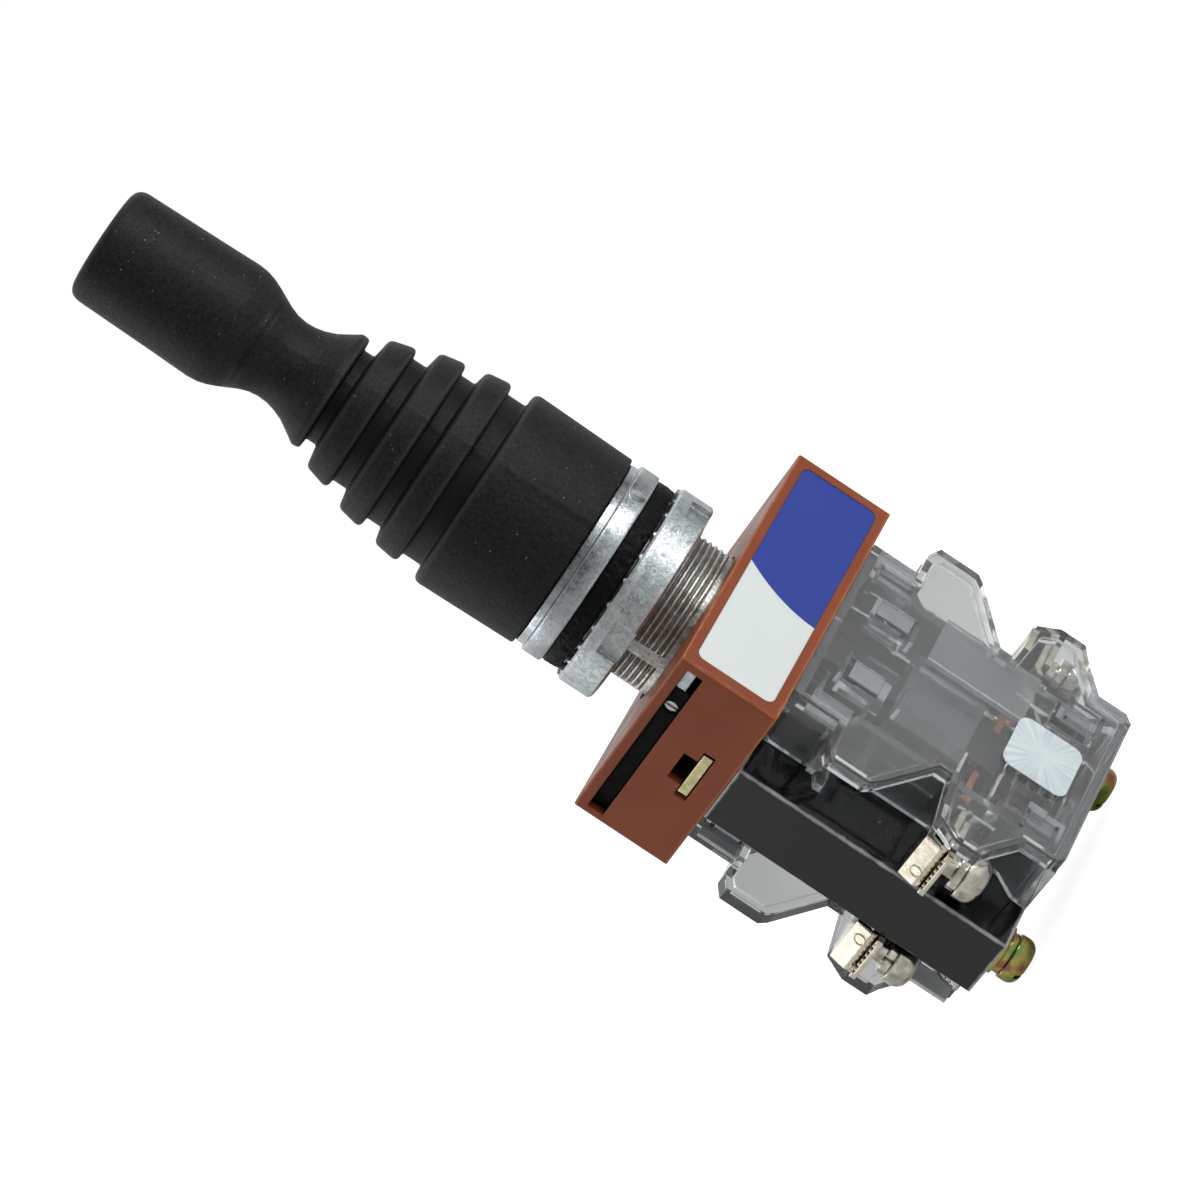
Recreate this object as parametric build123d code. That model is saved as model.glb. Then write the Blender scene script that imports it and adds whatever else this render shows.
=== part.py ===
from build123d import *
from math import radians
import os

# Industrial joystick for a 22 mm panel hole: a lever that tilts two ways over two contact blocks.
# Millimetres. Z runs along the control, and zero is the face of the gasket that seats on the panel.
# The handle points to +Z, the base is wide along X, its label faces -Y and its latch tab -X.

# Fits
RUNNING_FIT = 0.04
FREE_FIT = 0.2
SEAT_GAP = 0.1
CONTACT_GAP = 0.3

# Threaded neck and bezel, one casting
NECK_R = 10.9
NECK_BORE_R = 8.6
NECK_REACH_IN_BASE = 12.0
NECK_FLAT_DEPTH = 0.7
GASKET_T = 2.6
GASKET_R = 14.15
GASKET_TAPER = 0.45
RIM_R = 14.1
RIM_T = 2.9
LIP_R = 13.5
LIP_T = 1.2
TURRET_R = 12.6
TURRET_BORE_R = 10.4
TURRET_FLOOR_T = 1.4
BEAD_DEPTH = 0.8
BEAD_H = 1.6
BEAD_BELOW_TOP = 1.8

# Ring nut behind the panel
NUT_R = 14.65
NUT_T = 5.4
NUT_NOTCH_COUNT = 4
NUT_NOTCH_TURN = 15.0
NUT_NOTCH_W = 5.2
NUT_NOTCH_H = 3.1
NUT_NOTCH_DEPTH = 1.1
NUT_TEETH = 24
NUT_TOOTH_W = 0.9
NUT_TOOTH_L = 1.3
NUT_TOOTH_H = 0.35
NUT_TOOTH_INSET = 0.4
NUT_EDGE = 0.35
THREAD_SHOWN = 5.5

# Rubber boot: collar, bellows and grip sleeve
COLLAR_H = 15.3
COLLAR_R = 14.4
COLLAR_TAPER = 0.3
COLLAR_WEB_T = 1.7
COLLAR_EDGE_R = 1.2
BOOT_WALL = 1.45
BELLOWS_H = 21.5
RING_PITCH = 6.35
RING_W = 3.75
RING_FIRST_Z = 3.0
RING_SLANT = 0.4
RING_LAND = 0.2
RING_R = (13.65, 12.6, 10.75)
RING_FRONT_DROP = (0.5, 0.7, 1.0)
GROOVE_R = (12.25, 11.0, 9.35, 6.8)
GRIP_H = 35.7
GRIP_R = 8.55
GRIP_TIP_R = 8.2
GRIP_TIP_EDGE_R = 1.7
GRIP_DOME_H = 0.3
GRIP_STRAIGHT_H = 18.6
GRIP_SHOULDER_H = 4.9
GRIP_SHOULDER_R = 7.0
WAIST_R = 5.67
WAIST_Z = 8.1
FLARE_R = 8.3
FLARE_EDGE_R = 0.9

# Lever, rocker and pivot
LEVER_TILT = 20.0
PIVOT_ABOVE_LIP = 4.3
PIVOT_R = 2.0
PIVOT_PIN_INSET = 0.15
ROD_R = 3.0
ROD_COVER = 4.5
HUB_R = 3.8
HUB_W = 12.0
ROD_SOCKET_R = 4.8
ROD_SOCKET_H = 8.5
ROCKER_ARM = 6.0
ROCKER_DROP = 5.0
NOSE_R = 1.2
NOSE_W = 9.0
PUSHROD_FLAT_Y = 1.0

# Base housing
BASE_W = 45.0
BASE_D = 32.15
BASE_T = 14.2
BASE_EDGE_R = 0.6
LABEL_SIDE_MARGIN = 1.8
LABEL_END_MARGIN = 1.42
LABEL_CORNER_R = 1.2
LABEL_T = 0.25
LABEL_SEAT_DEPTH = 0.35
WINDOW_FROM_FRONT = 1.5
WINDOW_H = 2.4
WINDOW_MARGIN = 1.45
WINDOW_DEPTH = 8.5
LATCH_FROM_FRONT = 9.65
LATCH_T = 1.36
LATCH_TRAVEL = 1.5
LATCH_TAB_W = 7.7
LATCH_TAB_INSET = 0.2
LATCH_PLATE_W = 26.0
LATCH_FRONT_BRIDGE = 0.9
LATCH_REAR_BRIDGE = 2.8
TAB_HOLE_W = 9.0
TAB_NOTCH_W = 5.0
TAB_NOTCH_H = 2.0
LATCH_SPRING_Y = 8.0
LATCH_SPRING_R = 1.0
LATCH_SPRING_L = 4.6
LATCH_SPRING_TURNS = 5
CLAMP_BAR_L = 4.1
CLAMP_BAR_W = 5.0
CLAMP_BAR_H = 1.4
CLAMP_BAR_SET_BACK = 1.1
CLAMP_SCREW_R = 0.95
CLAMP_SCREW_INSET = 0.3
CLAMP_SCREW_FROM_BAR = 3.7
CLAMP_SLOT_W = 0.4
CLAMP_SLOT_DEPTH = 0.6

# Carrier between the contact blocks, with its two long screws
CARRIER_T = 10.5
CARRIER_L = 40.6
CARRIER_EDGE = 0.35
SCREW_FROM_END = 4.6
SCREW_R = 1.7
SCREW_BITE = 2.6
SCREW_HEAD_R = 3.2
SCREW_HEAD_H = 2.6
SCREW_SLOT_W = 0.9
WASHER_R = 3.4
WASHER_T = 0.6
SPRING_WASHER_R = 2.9
SPRING_WASHER_T = 0.9
WASHER_SPLIT_W = 0.6
WASHER_SPLIT_TURN = 30.0
HEAD_DOME = 0.6

# Contact block: a clear tray with a winged cover
BLOCK_OUT_Y = 15.8
COVER_T = 2.3
COVER_SKIN = 1.2
BLOCK_WALL = 1.3
BODY_HALF_W = 15.8
WAIST_HALF_W = 12.5
WING_INSET = 0.25
TAIL_HALF_W = 15.3
WING_1_Z = 6.9
WING_1_END_Z = 15.0
WAIST_Z_FROM = 20.9
WING_2_Z = 22.7
WING_2_END_Z = 31.8
TAIL_Z = 35.2
WING_CORNER = 1.1
WING_SLANT = 2.1
TRAY_INSET = 0.4
TRAY_STEP = 3.0
WELL_HALF_W = 6.6
WELL_SKIN = 0.9
WELL_FROM_BASE = 12.5
WELL_RIB_DEPTH = 2.2
GUSSET_T = 1.1
GUSSET_IN_Y = 9.4
GUSSET_W = 4.4
HOOK_W = 2.6
HOOK_DROP = 3.4
PAD_X = 6.25
PAD_W = 4.4
PAD_L = 5.2
PAD_FROM_BASE = 4.6
TAIL_PAD_X = 8.6
TAIL_PAD_FROM_REAR = 4.6
PAD_DEPTH = 2.6

# Plunger, moving bridge and springs of a contact block
PLUNGER_Y = 8.5
PLUNGER_W = 5.0
PLUNGER_T = 4.2
TONGUE_T = 1.4
PLUNGER_TOP_BELOW_BASE_FRONT = 10.4
YOKE_W = 6.8
YOKE_SKIN = 1.0
YOKE_REAR_SKIN = 1.8
BRIDGE_HALF_L = 9.2
BRIDGE_W = 3.0
BRIDGE_T = 0.8
BUTTON_X = 7.8
BUTTON_R = 1.3
BUTTON_H = 0.7
CONTACT_SPRING_R = 1.0
CONTACT_SPRING_L = 3.6
CONTACT_SPRING_TURNS = 4
RETURN_SPRING_R = 2.5
RETURN_SPRING_TURNS = 6
SPRING_WIRE_R = 0.25
POST_R = 1.6
POST_L = 5.3

# Fixed strips and wire terminals
STRIP_T = 0.9
STRIP_W = 4.0
STRIP_INNER_X = 6.4
STRIP_FLAT_L = 3.0
TERMINAL_Y = 9.45
TERMINAL_W = 7.9
TERMINAL_INSET = 0.2
TERMINAL_L = 6.7
TERMINAL_H = 3.3
TERMINAL_FROM_BASE = 23.8
TERMINAL_LEAN = 0.8
TERMINAL_EDGE_R = 0.8
TERMINAL_SCREW_SET_BACK = 2.2
TERMINAL_SCREW_OUT = 1.4
TERMINAL_SCREW_R = 1.7
SADDLE_L = 6.6
SADDLE_W = 7.2
SADDLE_T = 0.6
SADDLE_LIP_H = 0.3
SADDLE_LIP_T = 0.9
LOCK_WASHER_R = 2.7
LOCK_WASHER_T = 1.2
HEAD_R = 3.3
HEAD_H = 3.1
HEAD_CROSS_W = 0.8
HEAD_CROSS_L = 3.4
HEAD_CROSS_DEPTH = 1.2
SEAL_SIZE = 9.6
SEAL_CORNER_R = 1.6
SEAL_T = 0.12
SEAL_FROM_REAR = 8.5
SEAL_X = -0.6

# Heights that follow from the sizes above
rim_z0 = GASKET_T
rim_z1 = rim_z0 + RIM_T
lip_z1 = rim_z1 + LIP_T
collar_z1 = lip_z1 + COLLAR_H
turret_z1 = collar_z1 - COLLAR_WEB_T - SEAT_GAP
bellows_z1 = collar_z1 + BELLOWS_H
grip_z1 = bellows_z1 + GRIP_H
pivot_z = lip_z1 + PIVOT_ABOVE_LIP
nut_z1 = -SEAT_GAP
nut_z0 = nut_z1 - NUT_T
base_z1 = nut_z0 - THREAD_SHOWN
base_z0 = base_z1 - BASE_T
neck_z0 = base_z1 - NECK_REACH_IN_BASE
carrier_z0 = base_z0 - CARRIER_L
plunger_travel = ROCKER_ARM * radians(LEVER_TILT)
pushrod_z1 = pivot_z - ROCKER_DROP - NOSE_R - CONTACT_GAP
plunger_z1 = base_z1 - PLUNGER_TOP_BELOW_BASE_FRONT
latch_z1 = base_z1 - LATCH_FROM_FRONT
latch_z0 = latch_z1 - LATCH_T
terminal_z1 = base_z0 - TERMINAL_FROM_BASE
terminal_z0 = terminal_z1 - TERMINAL_H
strip_z1 = terminal_z0 - TERMINAL_H
button_z1 = strip_z1 + BUTTON_H
bridge_z0 = button_z1 + CONTACT_GAP + plunger_travel + BUTTON_H
bridge_z1 = bridge_z0 + BRIDGE_T
yoke_z1 = bridge_z1 + CONTACT_SPRING_L + YOKE_SKIN
yoke_z0 = bridge_z0 - YOKE_REAR_SKIN
block_in_y = CARRIER_T / 2 + SEAT_GAP
cover_in_y = BLOCK_OUT_Y - COVER_T
housing_out_y = cover_in_y - SEAT_GAP / 2
neck_hole_r = NECK_R + FREE_FIT
stem_z1 = neck_z0 - plunger_travel - CONTACT_GAP
latch_slot_r = NECK_R + CONTACT_GAP
latch_shoulder_x = -latch_slot_r - LATCH_TRAVEL - LATCH_FRONT_BRIDGE
latch_end_x = latch_slot_r + LATCH_REAR_BRIDGE
screw_x = BASE_W / 2 - SCREW_FROM_END
wing_x = BASE_W / 2 - WING_INSET
terminal_x = BASE_W / 2 - TERMINAL_INSET
terminal_screw_x = terminal_x - TERMINAL_SCREW_SET_BACK
well_z1 = base_z0 - WELL_FROM_BASE
well_z0 = bridge_z1 + plunger_travel + CONTACT_GAP
well_y = PLUNGER_Y + PLUNGER_T / 2 + FREE_FIT


def block(x, y, z):
    """Box between two limits along each axis."""
    size = Box(x[1] - x[0], y[1] - y[0], z[1] - z[0])
    return Pos((x[0] + x[1]) / 2, (y[0] + y[1]) / 2, (z[0] + z[1]) / 2) * size


def rod(radius, z0, z1, x=0.0, y=0.0):
    """Round bar along Z between two heights."""
    return Pos(x, y, (z0 + z1) / 2) * Cylinder(radius, z1 - z0)


def tube(r_in, r_out, z0, z1, x=0.0, y=0.0):
    """Round sleeve along Z between two heights."""
    return rod(r_out, z0, z1, x, y) - rod(r_in, z0 - 1, z1 + 1, x, y)


def cross_rod(radius, x0, x1, y, z):
    """Round bar along X between two limits."""
    return Pos((x0 + x1) / 2, y, z) * Rot(0, 90, 0) * Cylinder(radius, x1 - x0)


def turned(points):
    """Solid of revolution about Z from a closed outline of (radius, height) points."""
    return revolve(Plane.XZ * make_face(Polyline(*points, close=True)), Axis.Z)


def on_side(shape, back):
    """Shape as built for the label side, or turned half round for the other side."""
    return Rot(0, 0, 180) * shape if back else shape


def coil(radius, wire_r, length, turns):
    """Open helical spring along +Z from the origin, with its wire inside the length."""
    rise = length - 2 * wire_r
    path = Helix(rise / turns, rise, radius)
    start = Plane(path @ 0, z_dir=path % 0)
    return Pos(0, 0, wire_r) * sweep(start * Circle(wire_r), path, is_frenet=True)


def head_body():
    """Cast neck, bezel rim and hollow turret, bored for the pivot pin."""
    bead_z1 = turret_z1 - BEAD_BELOW_TOP
    body = turned([
        (NECK_BORE_R, neck_z0), (NECK_R, neck_z0), (NECK_R, rim_z0), (RIM_R, rim_z0),
        (RIM_R, rim_z1), (LIP_R, rim_z1), (LIP_R, lip_z1), (TURRET_R, lip_z1),
        (TURRET_R, bead_z1 - BEAD_H), (TURRET_R - BEAD_DEPTH, bead_z1 - BEAD_H),
        (TURRET_R - BEAD_DEPTH, bead_z1), (TURRET_R, bead_z1), (TURRET_R, turret_z1),
        (TURRET_BORE_R, turret_z1), (TURRET_BORE_R, rim_z0 + TURRET_FLOOR_T),
        (NECK_BORE_R, rim_z0 + TURRET_FLOOR_T),
    ])
    flat = block((NECK_R - NECK_FLAT_DEPTH, NECK_R + 1), (-NECK_R, NECK_R), (neck_z0 - 1, -SEAT_GAP))
    body -= Rot(0, 0, 135) * flat
    return body - cross_rod(PIVOT_R + RUNNING_FIT, -TURRET_R - 1, TURRET_R + 1, 0, pivot_z)


def panel_gasket():
    """Rubber ring that seals the bezel to the panel."""
    bore = NECK_R + SEAT_GAP / 2
    return turned([
        (bore, 0), (GASKET_R - GASKET_TAPER, 0), (GASKET_R, GASKET_T - GASKET_TAPER),
        (GASKET_R, rim_z0), (bore, rim_z0),
    ])


def locknut():
    """Ring nut with spanner notches behind and fine teeth that bite the panel."""
    face_z = nut_z1 - NUT_TOOTH_H
    nut = tube(NECK_R + RUNNING_FIT, NUT_R, nut_z0, face_z)
    nut = chamfer(nut.edges().filter_by(GeomType.CIRCLE).group_by(SortBy.RADIUS)[-1], NUT_EDGE)
    floor = NUT_R - NUT_NOTCH_DEPTH
    half = NUT_NOTCH_W / 2
    notch = block((floor, NUT_R + 1), (-half, half), (nut_z0 - 1, nut_z0 + NUT_NOTCH_H))
    nut -= [turn * notch for turn in PolarLocations(0, NUT_NOTCH_COUNT, start_angle=NUT_NOTCH_TURN)]
    wedge = Plane.YZ * make_face(Polyline(
        (-NUT_TOOTH_W / 2, face_z), (NUT_TOOTH_W / 2, face_z), (0, nut_z1), close=True))
    tooth = Pos(NUT_R - NUT_TOOTH_INSET - NUT_TOOTH_L, 0, 0) * extrude(wedge, NUT_TOOTH_L)
    return nut + [turn * tooth for turn in PolarLocations(0, NUT_TEETH)]


def boot_collar():
    """Stiff rubber skirt of the boot, snapped over the turret's groove."""
    bead_z1 = turret_z1 - BEAD_BELOW_TOP - SEAT_GAP
    bead_z0 = bead_z1 - BEAD_H + 2 * SEAT_GAP
    bore = TURRET_R + SEAT_GAP
    skirt_z0 = lip_z1 + SEAT_GAP
    skirt = turned([
        (bore, skirt_z0), (COLLAR_R - COLLAR_TAPER, skirt_z0), (COLLAR_R, collar_z1),
        (GROOVE_R[0] - BOOT_WALL, collar_z1), (GROOVE_R[0] - BOOT_WALL, turret_z1 + SEAT_GAP),
        (bore, turret_z1 + SEAT_GAP), (bore, bead_z1), (bore - BEAD_DEPTH, bead_z1),
        (bore - BEAD_DEPTH, bead_z0), (bore, bead_z0),
    ])
    top = skirt.edges().filter_by(lambda e: e.geom_type == GeomType.CIRCLE and e.radius > COLLAR_R - SEAT_GAP)
    return fillet(top, COLLAR_EDGE_R)


def bellows_outline():
    """Outer (radius, height) points of the bellows, ring by ring from the collar up."""
    points = [(GROOVE_R[0], collar_z1)]
    for i, ring_r in enumerate(RING_R):
        z = collar_z1 + RING_FIRST_Z + i * RING_PITCH
        front_r = ring_r - RING_FRONT_DROP[i]
        points += [
            (GROOVE_R[i], z), (ring_r, z), (front_r, z + RING_W - RING_LAND),
            (GROOVE_R[i + 1], z + RING_W + RING_SLANT),
        ]
    return points + [(GROOVE_R[-1], bellows_z1)]


def boot_bellows():
    """Folded rubber between the collar and the grip, which bends as the lever tilts."""
    bore = [(GROOVE_R[-1] - BOOT_WALL, bellows_z1)]
    for i in (2, 1):
        z = collar_z1 + RING_FIRST_Z + (i - 1) * RING_PITCH + RING_W + RING_SLANT
        bore.append((GROOVE_R[i] - BOOT_WALL, z))
    return turned(bellows_outline() + bore + [(GROOVE_R[0] - BOOT_WALL, collar_z1)])


def grip():
    """Moulded rubber grip sleeve, waisted above the flare that joins the bellows."""
    shoulder_z = grip_z1 - GRIP_STRAIGHT_H
    bore = ROD_R + SEAT_GAP / 2
    side = Polyline(
        (bore, bellows_z1), (FLARE_R - FLARE_EDGE_R, bellows_z1), (FLARE_R, bellows_z1 + FLARE_EDGE_R)
    )
    waist = Spline(
        (FLARE_R, bellows_z1 + FLARE_EDGE_R),
        (WAIST_R, bellows_z1 + WAIST_Z),
        (GRIP_SHOULDER_R, shoulder_z - GRIP_SHOULDER_H),
        (GRIP_R, shoulder_z),
        tangents=[(-1, 1), (0, 1)],
    )
    tip_z = grip_z1 - GRIP_TIP_EDGE_R
    upper = Polyline((GRIP_R, shoulder_z), (GRIP_TIP_R, tip_z))
    edge = RadiusArc((GRIP_TIP_R, tip_z), (GRIP_TIP_R - GRIP_TIP_EDGE_R, grip_z1), -GRIP_TIP_EDGE_R)
    rest = Polyline(
        (GRIP_TIP_R - GRIP_TIP_EDGE_R, grip_z1), (0, grip_z1 + GRIP_DOME_H), (0, grip_z1 - ROD_COVER),
        (bore, grip_z1 - ROD_COVER), (bore, bellows_z1),
    )
    outline = Wire([*side.edges(), waist, *upper.edges(), edge, *rest.edges()])
    return revolve(Plane.XZ * make_face(outline), Axis.Z)


def lever_rod():
    """Steel rod that stiffens the grip and ends in the rocker's socket."""
    return rod(ROD_R, pivot_z + HUB_R + SEAT_GAP, grip_z1 - ROD_COVER - SEAT_GAP)


def rocker():
    """Hub on the pivot pin, with a socket for the rod and two noses that press the push rods."""
    nose_y, nose_z = ROCKER_ARM, -ROCKER_DROP
    half = NOSE_R / 2
    arm = [(0, -HUB_R / 2), (nose_y - half, nose_z), (nose_y + half, nose_z + half),
           (nose_y + half, nose_z + NOSE_R), (HUB_R / 2, NOSE_R), (0, NOSE_R)]
    outline = arm + [(-y, z) for y, z in arm[-2:0:-1]]
    arms = extrude(Plane.YZ * make_face(Polyline(*outline, close=True)), NOSE_W / 2, both=True)
    hub = cross_rod(HUB_R, -HUB_W / 2, HUB_W / 2, 0, 0) + arms
    for side in (-1, 1):
        hub += cross_rod(NOSE_R, -NOSE_W / 2, NOSE_W / 2, side * nose_y, nose_z)
    hub += rod(ROD_SOCKET_R, 0, ROD_SOCKET_H)
    hub -= rod(ROD_R + SEAT_GAP / 2, HUB_R, ROD_SOCKET_H + 1)
    hub -= cross_rod(PIVOT_R + RUNNING_FIT, -HUB_W, HUB_W, 0, 0)
    return Pos(0, 0, pivot_z) * hub


def pivot_pin():
    """Steel cross pin in the turret's walls."""
    reach = TURRET_R - PIVOT_PIN_INSET
    return cross_rod(PIVOT_R, -reach, reach, 0, pivot_z)


def base_housing():
    """Moulded base that clips on the neck and carries the contact blocks behind it."""
    x, y = BASE_W / 2, BASE_D / 2
    body = block((-x, x), (-y, y), (base_z0, base_z1))
    body = fillet(body.edges().filter_by(Axis.Z), BASE_EDGE_R)
    body = fillet(body.faces().sort_by(Axis.Z)[-1].edges(), BASE_EDGE_R / 2)
    body -= rod(neck_hole_r, base_z0 - 1, base_z1 + 1)
    body -= label_plate(-y - 1, -y + LABEL_SEAT_DEPTH)
    body -= window_pocket()
    body -= latch_pocket()
    hole_z1 = base_z0 + SCREW_BITE + FREE_FIT
    for side in (-1, 1):
        body -= rod(SCREW_R + SEAT_GAP, base_z0 - 1, hole_z1, side * screw_x)
    return body


def label_plate(y0, y1):
    """Rounded rectangle of the label between two depths, on the side that looks to -Y."""
    width = BASE_W - 2 * LABEL_SIDE_MARGIN
    height = BASE_T - 2 * LABEL_END_MARGIN
    face = Plane.XZ * RectangleRounded(width, height, LABEL_CORNER_R)
    return Pos(0, y1, (base_z0 + base_z1) / 2) * extrude(face, y1 - y0)


def window_pocket():
    """Long slot in the -X face, through which the clamp bar's screw is reached."""
    y = BASE_D / 2 - WINDOW_MARGIN
    z1 = base_z1 - WINDOW_FROM_FRONT
    return block((-BASE_W / 2 - 1, -BASE_W / 2 + WINDOW_DEPTH), (-y, y), (z1 - WINDOW_H, z1))


def latch_pocket():
    """Chamber of the latch plate, with the T-shaped opening for its tab and the spring's seat."""
    z = (latch_z0 - FREE_FIT, latch_z1 + FREE_FIT)
    y = LATCH_PLATE_W / 2 + FREE_FIT
    x_in = latch_shoulder_x - FREE_FIT
    chamber = block((x_in, latch_end_x + LATCH_TRAVEL + FREE_FIT), (-y, y), z)
    opening = block((-BASE_W / 2 - 1, x_in + 1), (-TAB_HOLE_W / 2, TAB_HOLE_W / 2), z)
    notch_z = (latch_z1, latch_z1 + FREE_FIT + TAB_NOTCH_H)
    notch = block((-BASE_W / 2 - 1, x_in), (-TAB_NOTCH_W / 2, TAB_NOTCH_W / 2), notch_z)
    spring_end = latch_end_x + LATCH_SPRING_L + SEAT_GAP
    half = LATCH_SPRING_R + SPRING_WIRE_R + FREE_FIT
    seat_z = ((latch_z0 + latch_z1) / 2 - half, (latch_z0 + latch_z1) / 2 + half)
    seat = block((latch_end_x, spring_end), (LATCH_SPRING_Y - half, LATCH_SPRING_Y + half), seat_z)
    return chamber + opening + notch + seat


def base_label():
    """Plain adhesive label in its seat."""
    seat_y = -BASE_D / 2 + LABEL_SEAT_DEPTH
    return label_plate(seat_y - LABEL_T, seat_y)


def latch_plate():
    """Sprung steel plate whose slot holds the neck until its tab is pushed in."""
    z = (latch_z0, latch_z1)
    half = LATCH_PLATE_W / 2
    plate = block((latch_shoulder_x, latch_end_x), (-half, half), z)
    tab_x = -BASE_W / 2 + LATCH_TAB_INSET
    plate += block((tab_x, latch_shoulder_x + 1), (-LATCH_TAB_W / 2, LATCH_TAB_W / 2), z)
    slot = rod(latch_slot_r, latch_z0 - 1, latch_z1 + 1)
    slot += rod(latch_slot_r, latch_z0 - 1, latch_z1 + 1, -LATCH_TRAVEL)
    between = block((-LATCH_TRAVEL, 0), (-latch_slot_r, latch_slot_r), (latch_z0 - 1, latch_z1 + 1))
    return plate - slot - between


def latch_spring():
    """Spring that holds the latch plate against the neck."""
    spring = coil(LATCH_SPRING_R, SPRING_WIRE_R, LATCH_SPRING_L, LATCH_SPRING_TURNS)
    return Pos(latch_end_x, LATCH_SPRING_Y, (latch_z0 + latch_z1) / 2) * Rot(0, 90, 0) * spring


def clamp_bar_at():
    """Outer face of the clamp bar, its two ends, and the middle height of the window."""
    x = -BASE_W / 2 + CLAMP_BAR_SET_BACK
    y = -BASE_D / 2 + WINDOW_MARGIN + SEAT_GAP
    return x, y, y + CLAMP_BAR_L, base_z1 - WINDOW_FROM_FRONT - WINDOW_H / 2


def clamp_bar():
    """End of the cast bar behind the window that stiffens the base round the neck."""
    x, y0, y1, z = clamp_bar_at()
    z1 = z + WINDOW_H / 2 - SEAT_GAP
    return block((x, x + CLAMP_BAR_W), (y0, y1), (z1 - CLAMP_BAR_H, z1))


def clamp_insert():
    """Black filling of the window beside the clamp bar, which holds the clamp screw."""
    x, _, y0, z = clamp_bar_at()
    x1, y1 = -BASE_W / 2 + WINDOW_DEPTH - SEAT_GAP, BASE_D / 2 - WINDOW_MARGIN - SEAT_GAP
    half_h = WINDOW_H / 2 - SEAT_GAP
    filling = block((x, x1), (y0 + SEAT_GAP, y1), (z - half_h, z + half_h))
    return filling - cross_rod(CLAMP_SCREW_R + SEAT_GAP / 2, x - 1, x1 - 1, y0 + CLAMP_SCREW_FROM_BAR, z)


def clamp_screw():
    """Small slotted grub screw in the window's filling."""
    x, _, y0, z = clamp_bar_at()
    x0, y = x + CLAMP_SCREW_INSET, y0 + CLAMP_SCREW_FROM_BAR
    screw = cross_rod(CLAMP_SCREW_R, x0, x0 + CLAMP_BAR_W - 1, y, z)
    half = CLAMP_SLOT_W / 2
    return screw - block((x0 - 1, x0 + CLAMP_SLOT_DEPTH), (y - half, y + half), (z - 2, z + 2))


def contact_carrier():
    """Black block between the two contact blocks, drilled for the long screws."""
    x, y = BASE_W / 2, CARRIER_T / 2
    body = block((-x, x), (-y, y), (carrier_z0, base_z0 - SEAT_GAP))
    body = chamfer(body.edges().filter_by(Axis.Z), CARRIER_EDGE)
    for side in (-1, 1):
        body -= rod(SCREW_R + FREE_FIT, carrier_z0 - 1, base_z0 + 1, side * screw_x)
    return body


def pan_head(radius, height, z):
    """Domed screw head whose flat underside lies at a height, facing up."""
    dome = Pos(0, 0, z - height / 2) * Cylinder(radius, height)
    return fillet(dome.edges().sort_by(Axis.Z)[0], height * HEAD_DOME)


def carrier_screws():
    """Two long slotted screws that hold the carrier to the base."""
    seat_z = carrier_z0 - WASHER_T - SPRING_WASHER_T - 2 * SEAT_GAP
    screw = pan_head(SCREW_HEAD_R, SCREW_HEAD_H, seat_z) + rod(SCREW_R, seat_z, base_z0 + SCREW_BITE)
    slot_z = seat_z - SCREW_HEAD_H
    half = SCREW_SLOT_W / 2
    screw -= block((-SCREW_HEAD_R, SCREW_HEAD_R), (-half, half), (slot_z - 1, slot_z + SCREW_SLOT_W))
    return Compound([Pos(side * screw_x, 0, 0) * screw for side in (-1, 1)])


def carrier_washers():
    """Flat washers under the long screws."""
    z1 = carrier_z0 - SEAT_GAP / 2
    return Compound([
        tube(SCREW_R + SEAT_GAP, WASHER_R, z1 - WASHER_T, z1, side * screw_x) for side in (-1, 1)
    ])


def split_washer(r_in, r_out, thickness, z1):
    """Spring washer with its split."""
    ring = tube(r_in, r_out, z1 - thickness, z1)
    half = WASHER_SPLIT_W / 2
    split = block((0, r_out + 1), (-half, half), (z1 - thickness - 1, z1 + 1))
    return ring - Rot(0, 0, WASHER_SPLIT_TURN) * split


def carrier_spring_washers():
    """Spring washers between the flat washers and the heads."""
    z1 = carrier_z0 - SEAT_GAP - WASHER_T
    washer = split_washer(SCREW_R + SEAT_GAP, SPRING_WASHER_R, SPRING_WASHER_T, z1)
    return Compound([Pos(side * screw_x, 0, 0) * washer for side in (-1, 1)])


def cover_outline():
    """Half outline of the winged cover as (half width, distance behind the base)."""
    return [
        (BODY_HALF_W, 0), (BODY_HALF_W, WING_1_Z),
        (wing_x - WING_SLANT, WING_1_Z), (wing_x, WING_1_Z + WING_CORNER),
        (wing_x, WING_1_END_Z - WING_CORNER), (wing_x - WING_CORNER, WING_1_END_Z),
        (WAIST_HALF_W, WAIST_Z_FROM), (WAIST_HALF_W, WING_2_Z),
        (wing_x - WING_SLANT, WING_2_Z + WING_CORNER), (wing_x, WING_2_Z + 2 * WING_SLANT),
        (wing_x, WING_2_END_Z - WING_CORNER), (wing_x - WING_SLANT, WING_2_END_Z),
        (TAIL_HALF_W, TAIL_Z), (TAIL_HALF_W, CARRIER_L - WING_CORNER),
        (TAIL_HALF_W - WING_CORNER, CARRIER_L),
    ]


def outline_solid(half_outline, y0, y1, inset=0.0):
    """Solid of a symmetric outline between two depths, drawn in by an inset."""
    front = base_z0 - SEAT_GAP
    points = [(x, front - z * (CARRIER_L - SEAT_GAP) / CARRIER_L) for x, z in half_outline]
    points += [(-x, z) for x, z in reversed(points)]
    face = make_face(Polyline(*points, close=True))
    if inset:
        face = offset(face, -inset, kind=Kind.INTERSECTION)
    return Pos(0, y1, 0) * extrude(Plane.XZ * face, y1 - y0)


def pad(x, z1):
    """Block of the cover that stands behind its skin, beside the plunger or at the tail."""
    y0 = -BLOCK_OUT_Y + COVER_SKIN
    return block((x - PAD_W / 2, x + PAD_W / 2), (y0, y0 + PAD_DEPTH), (z1 - PAD_L, z1))


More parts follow.
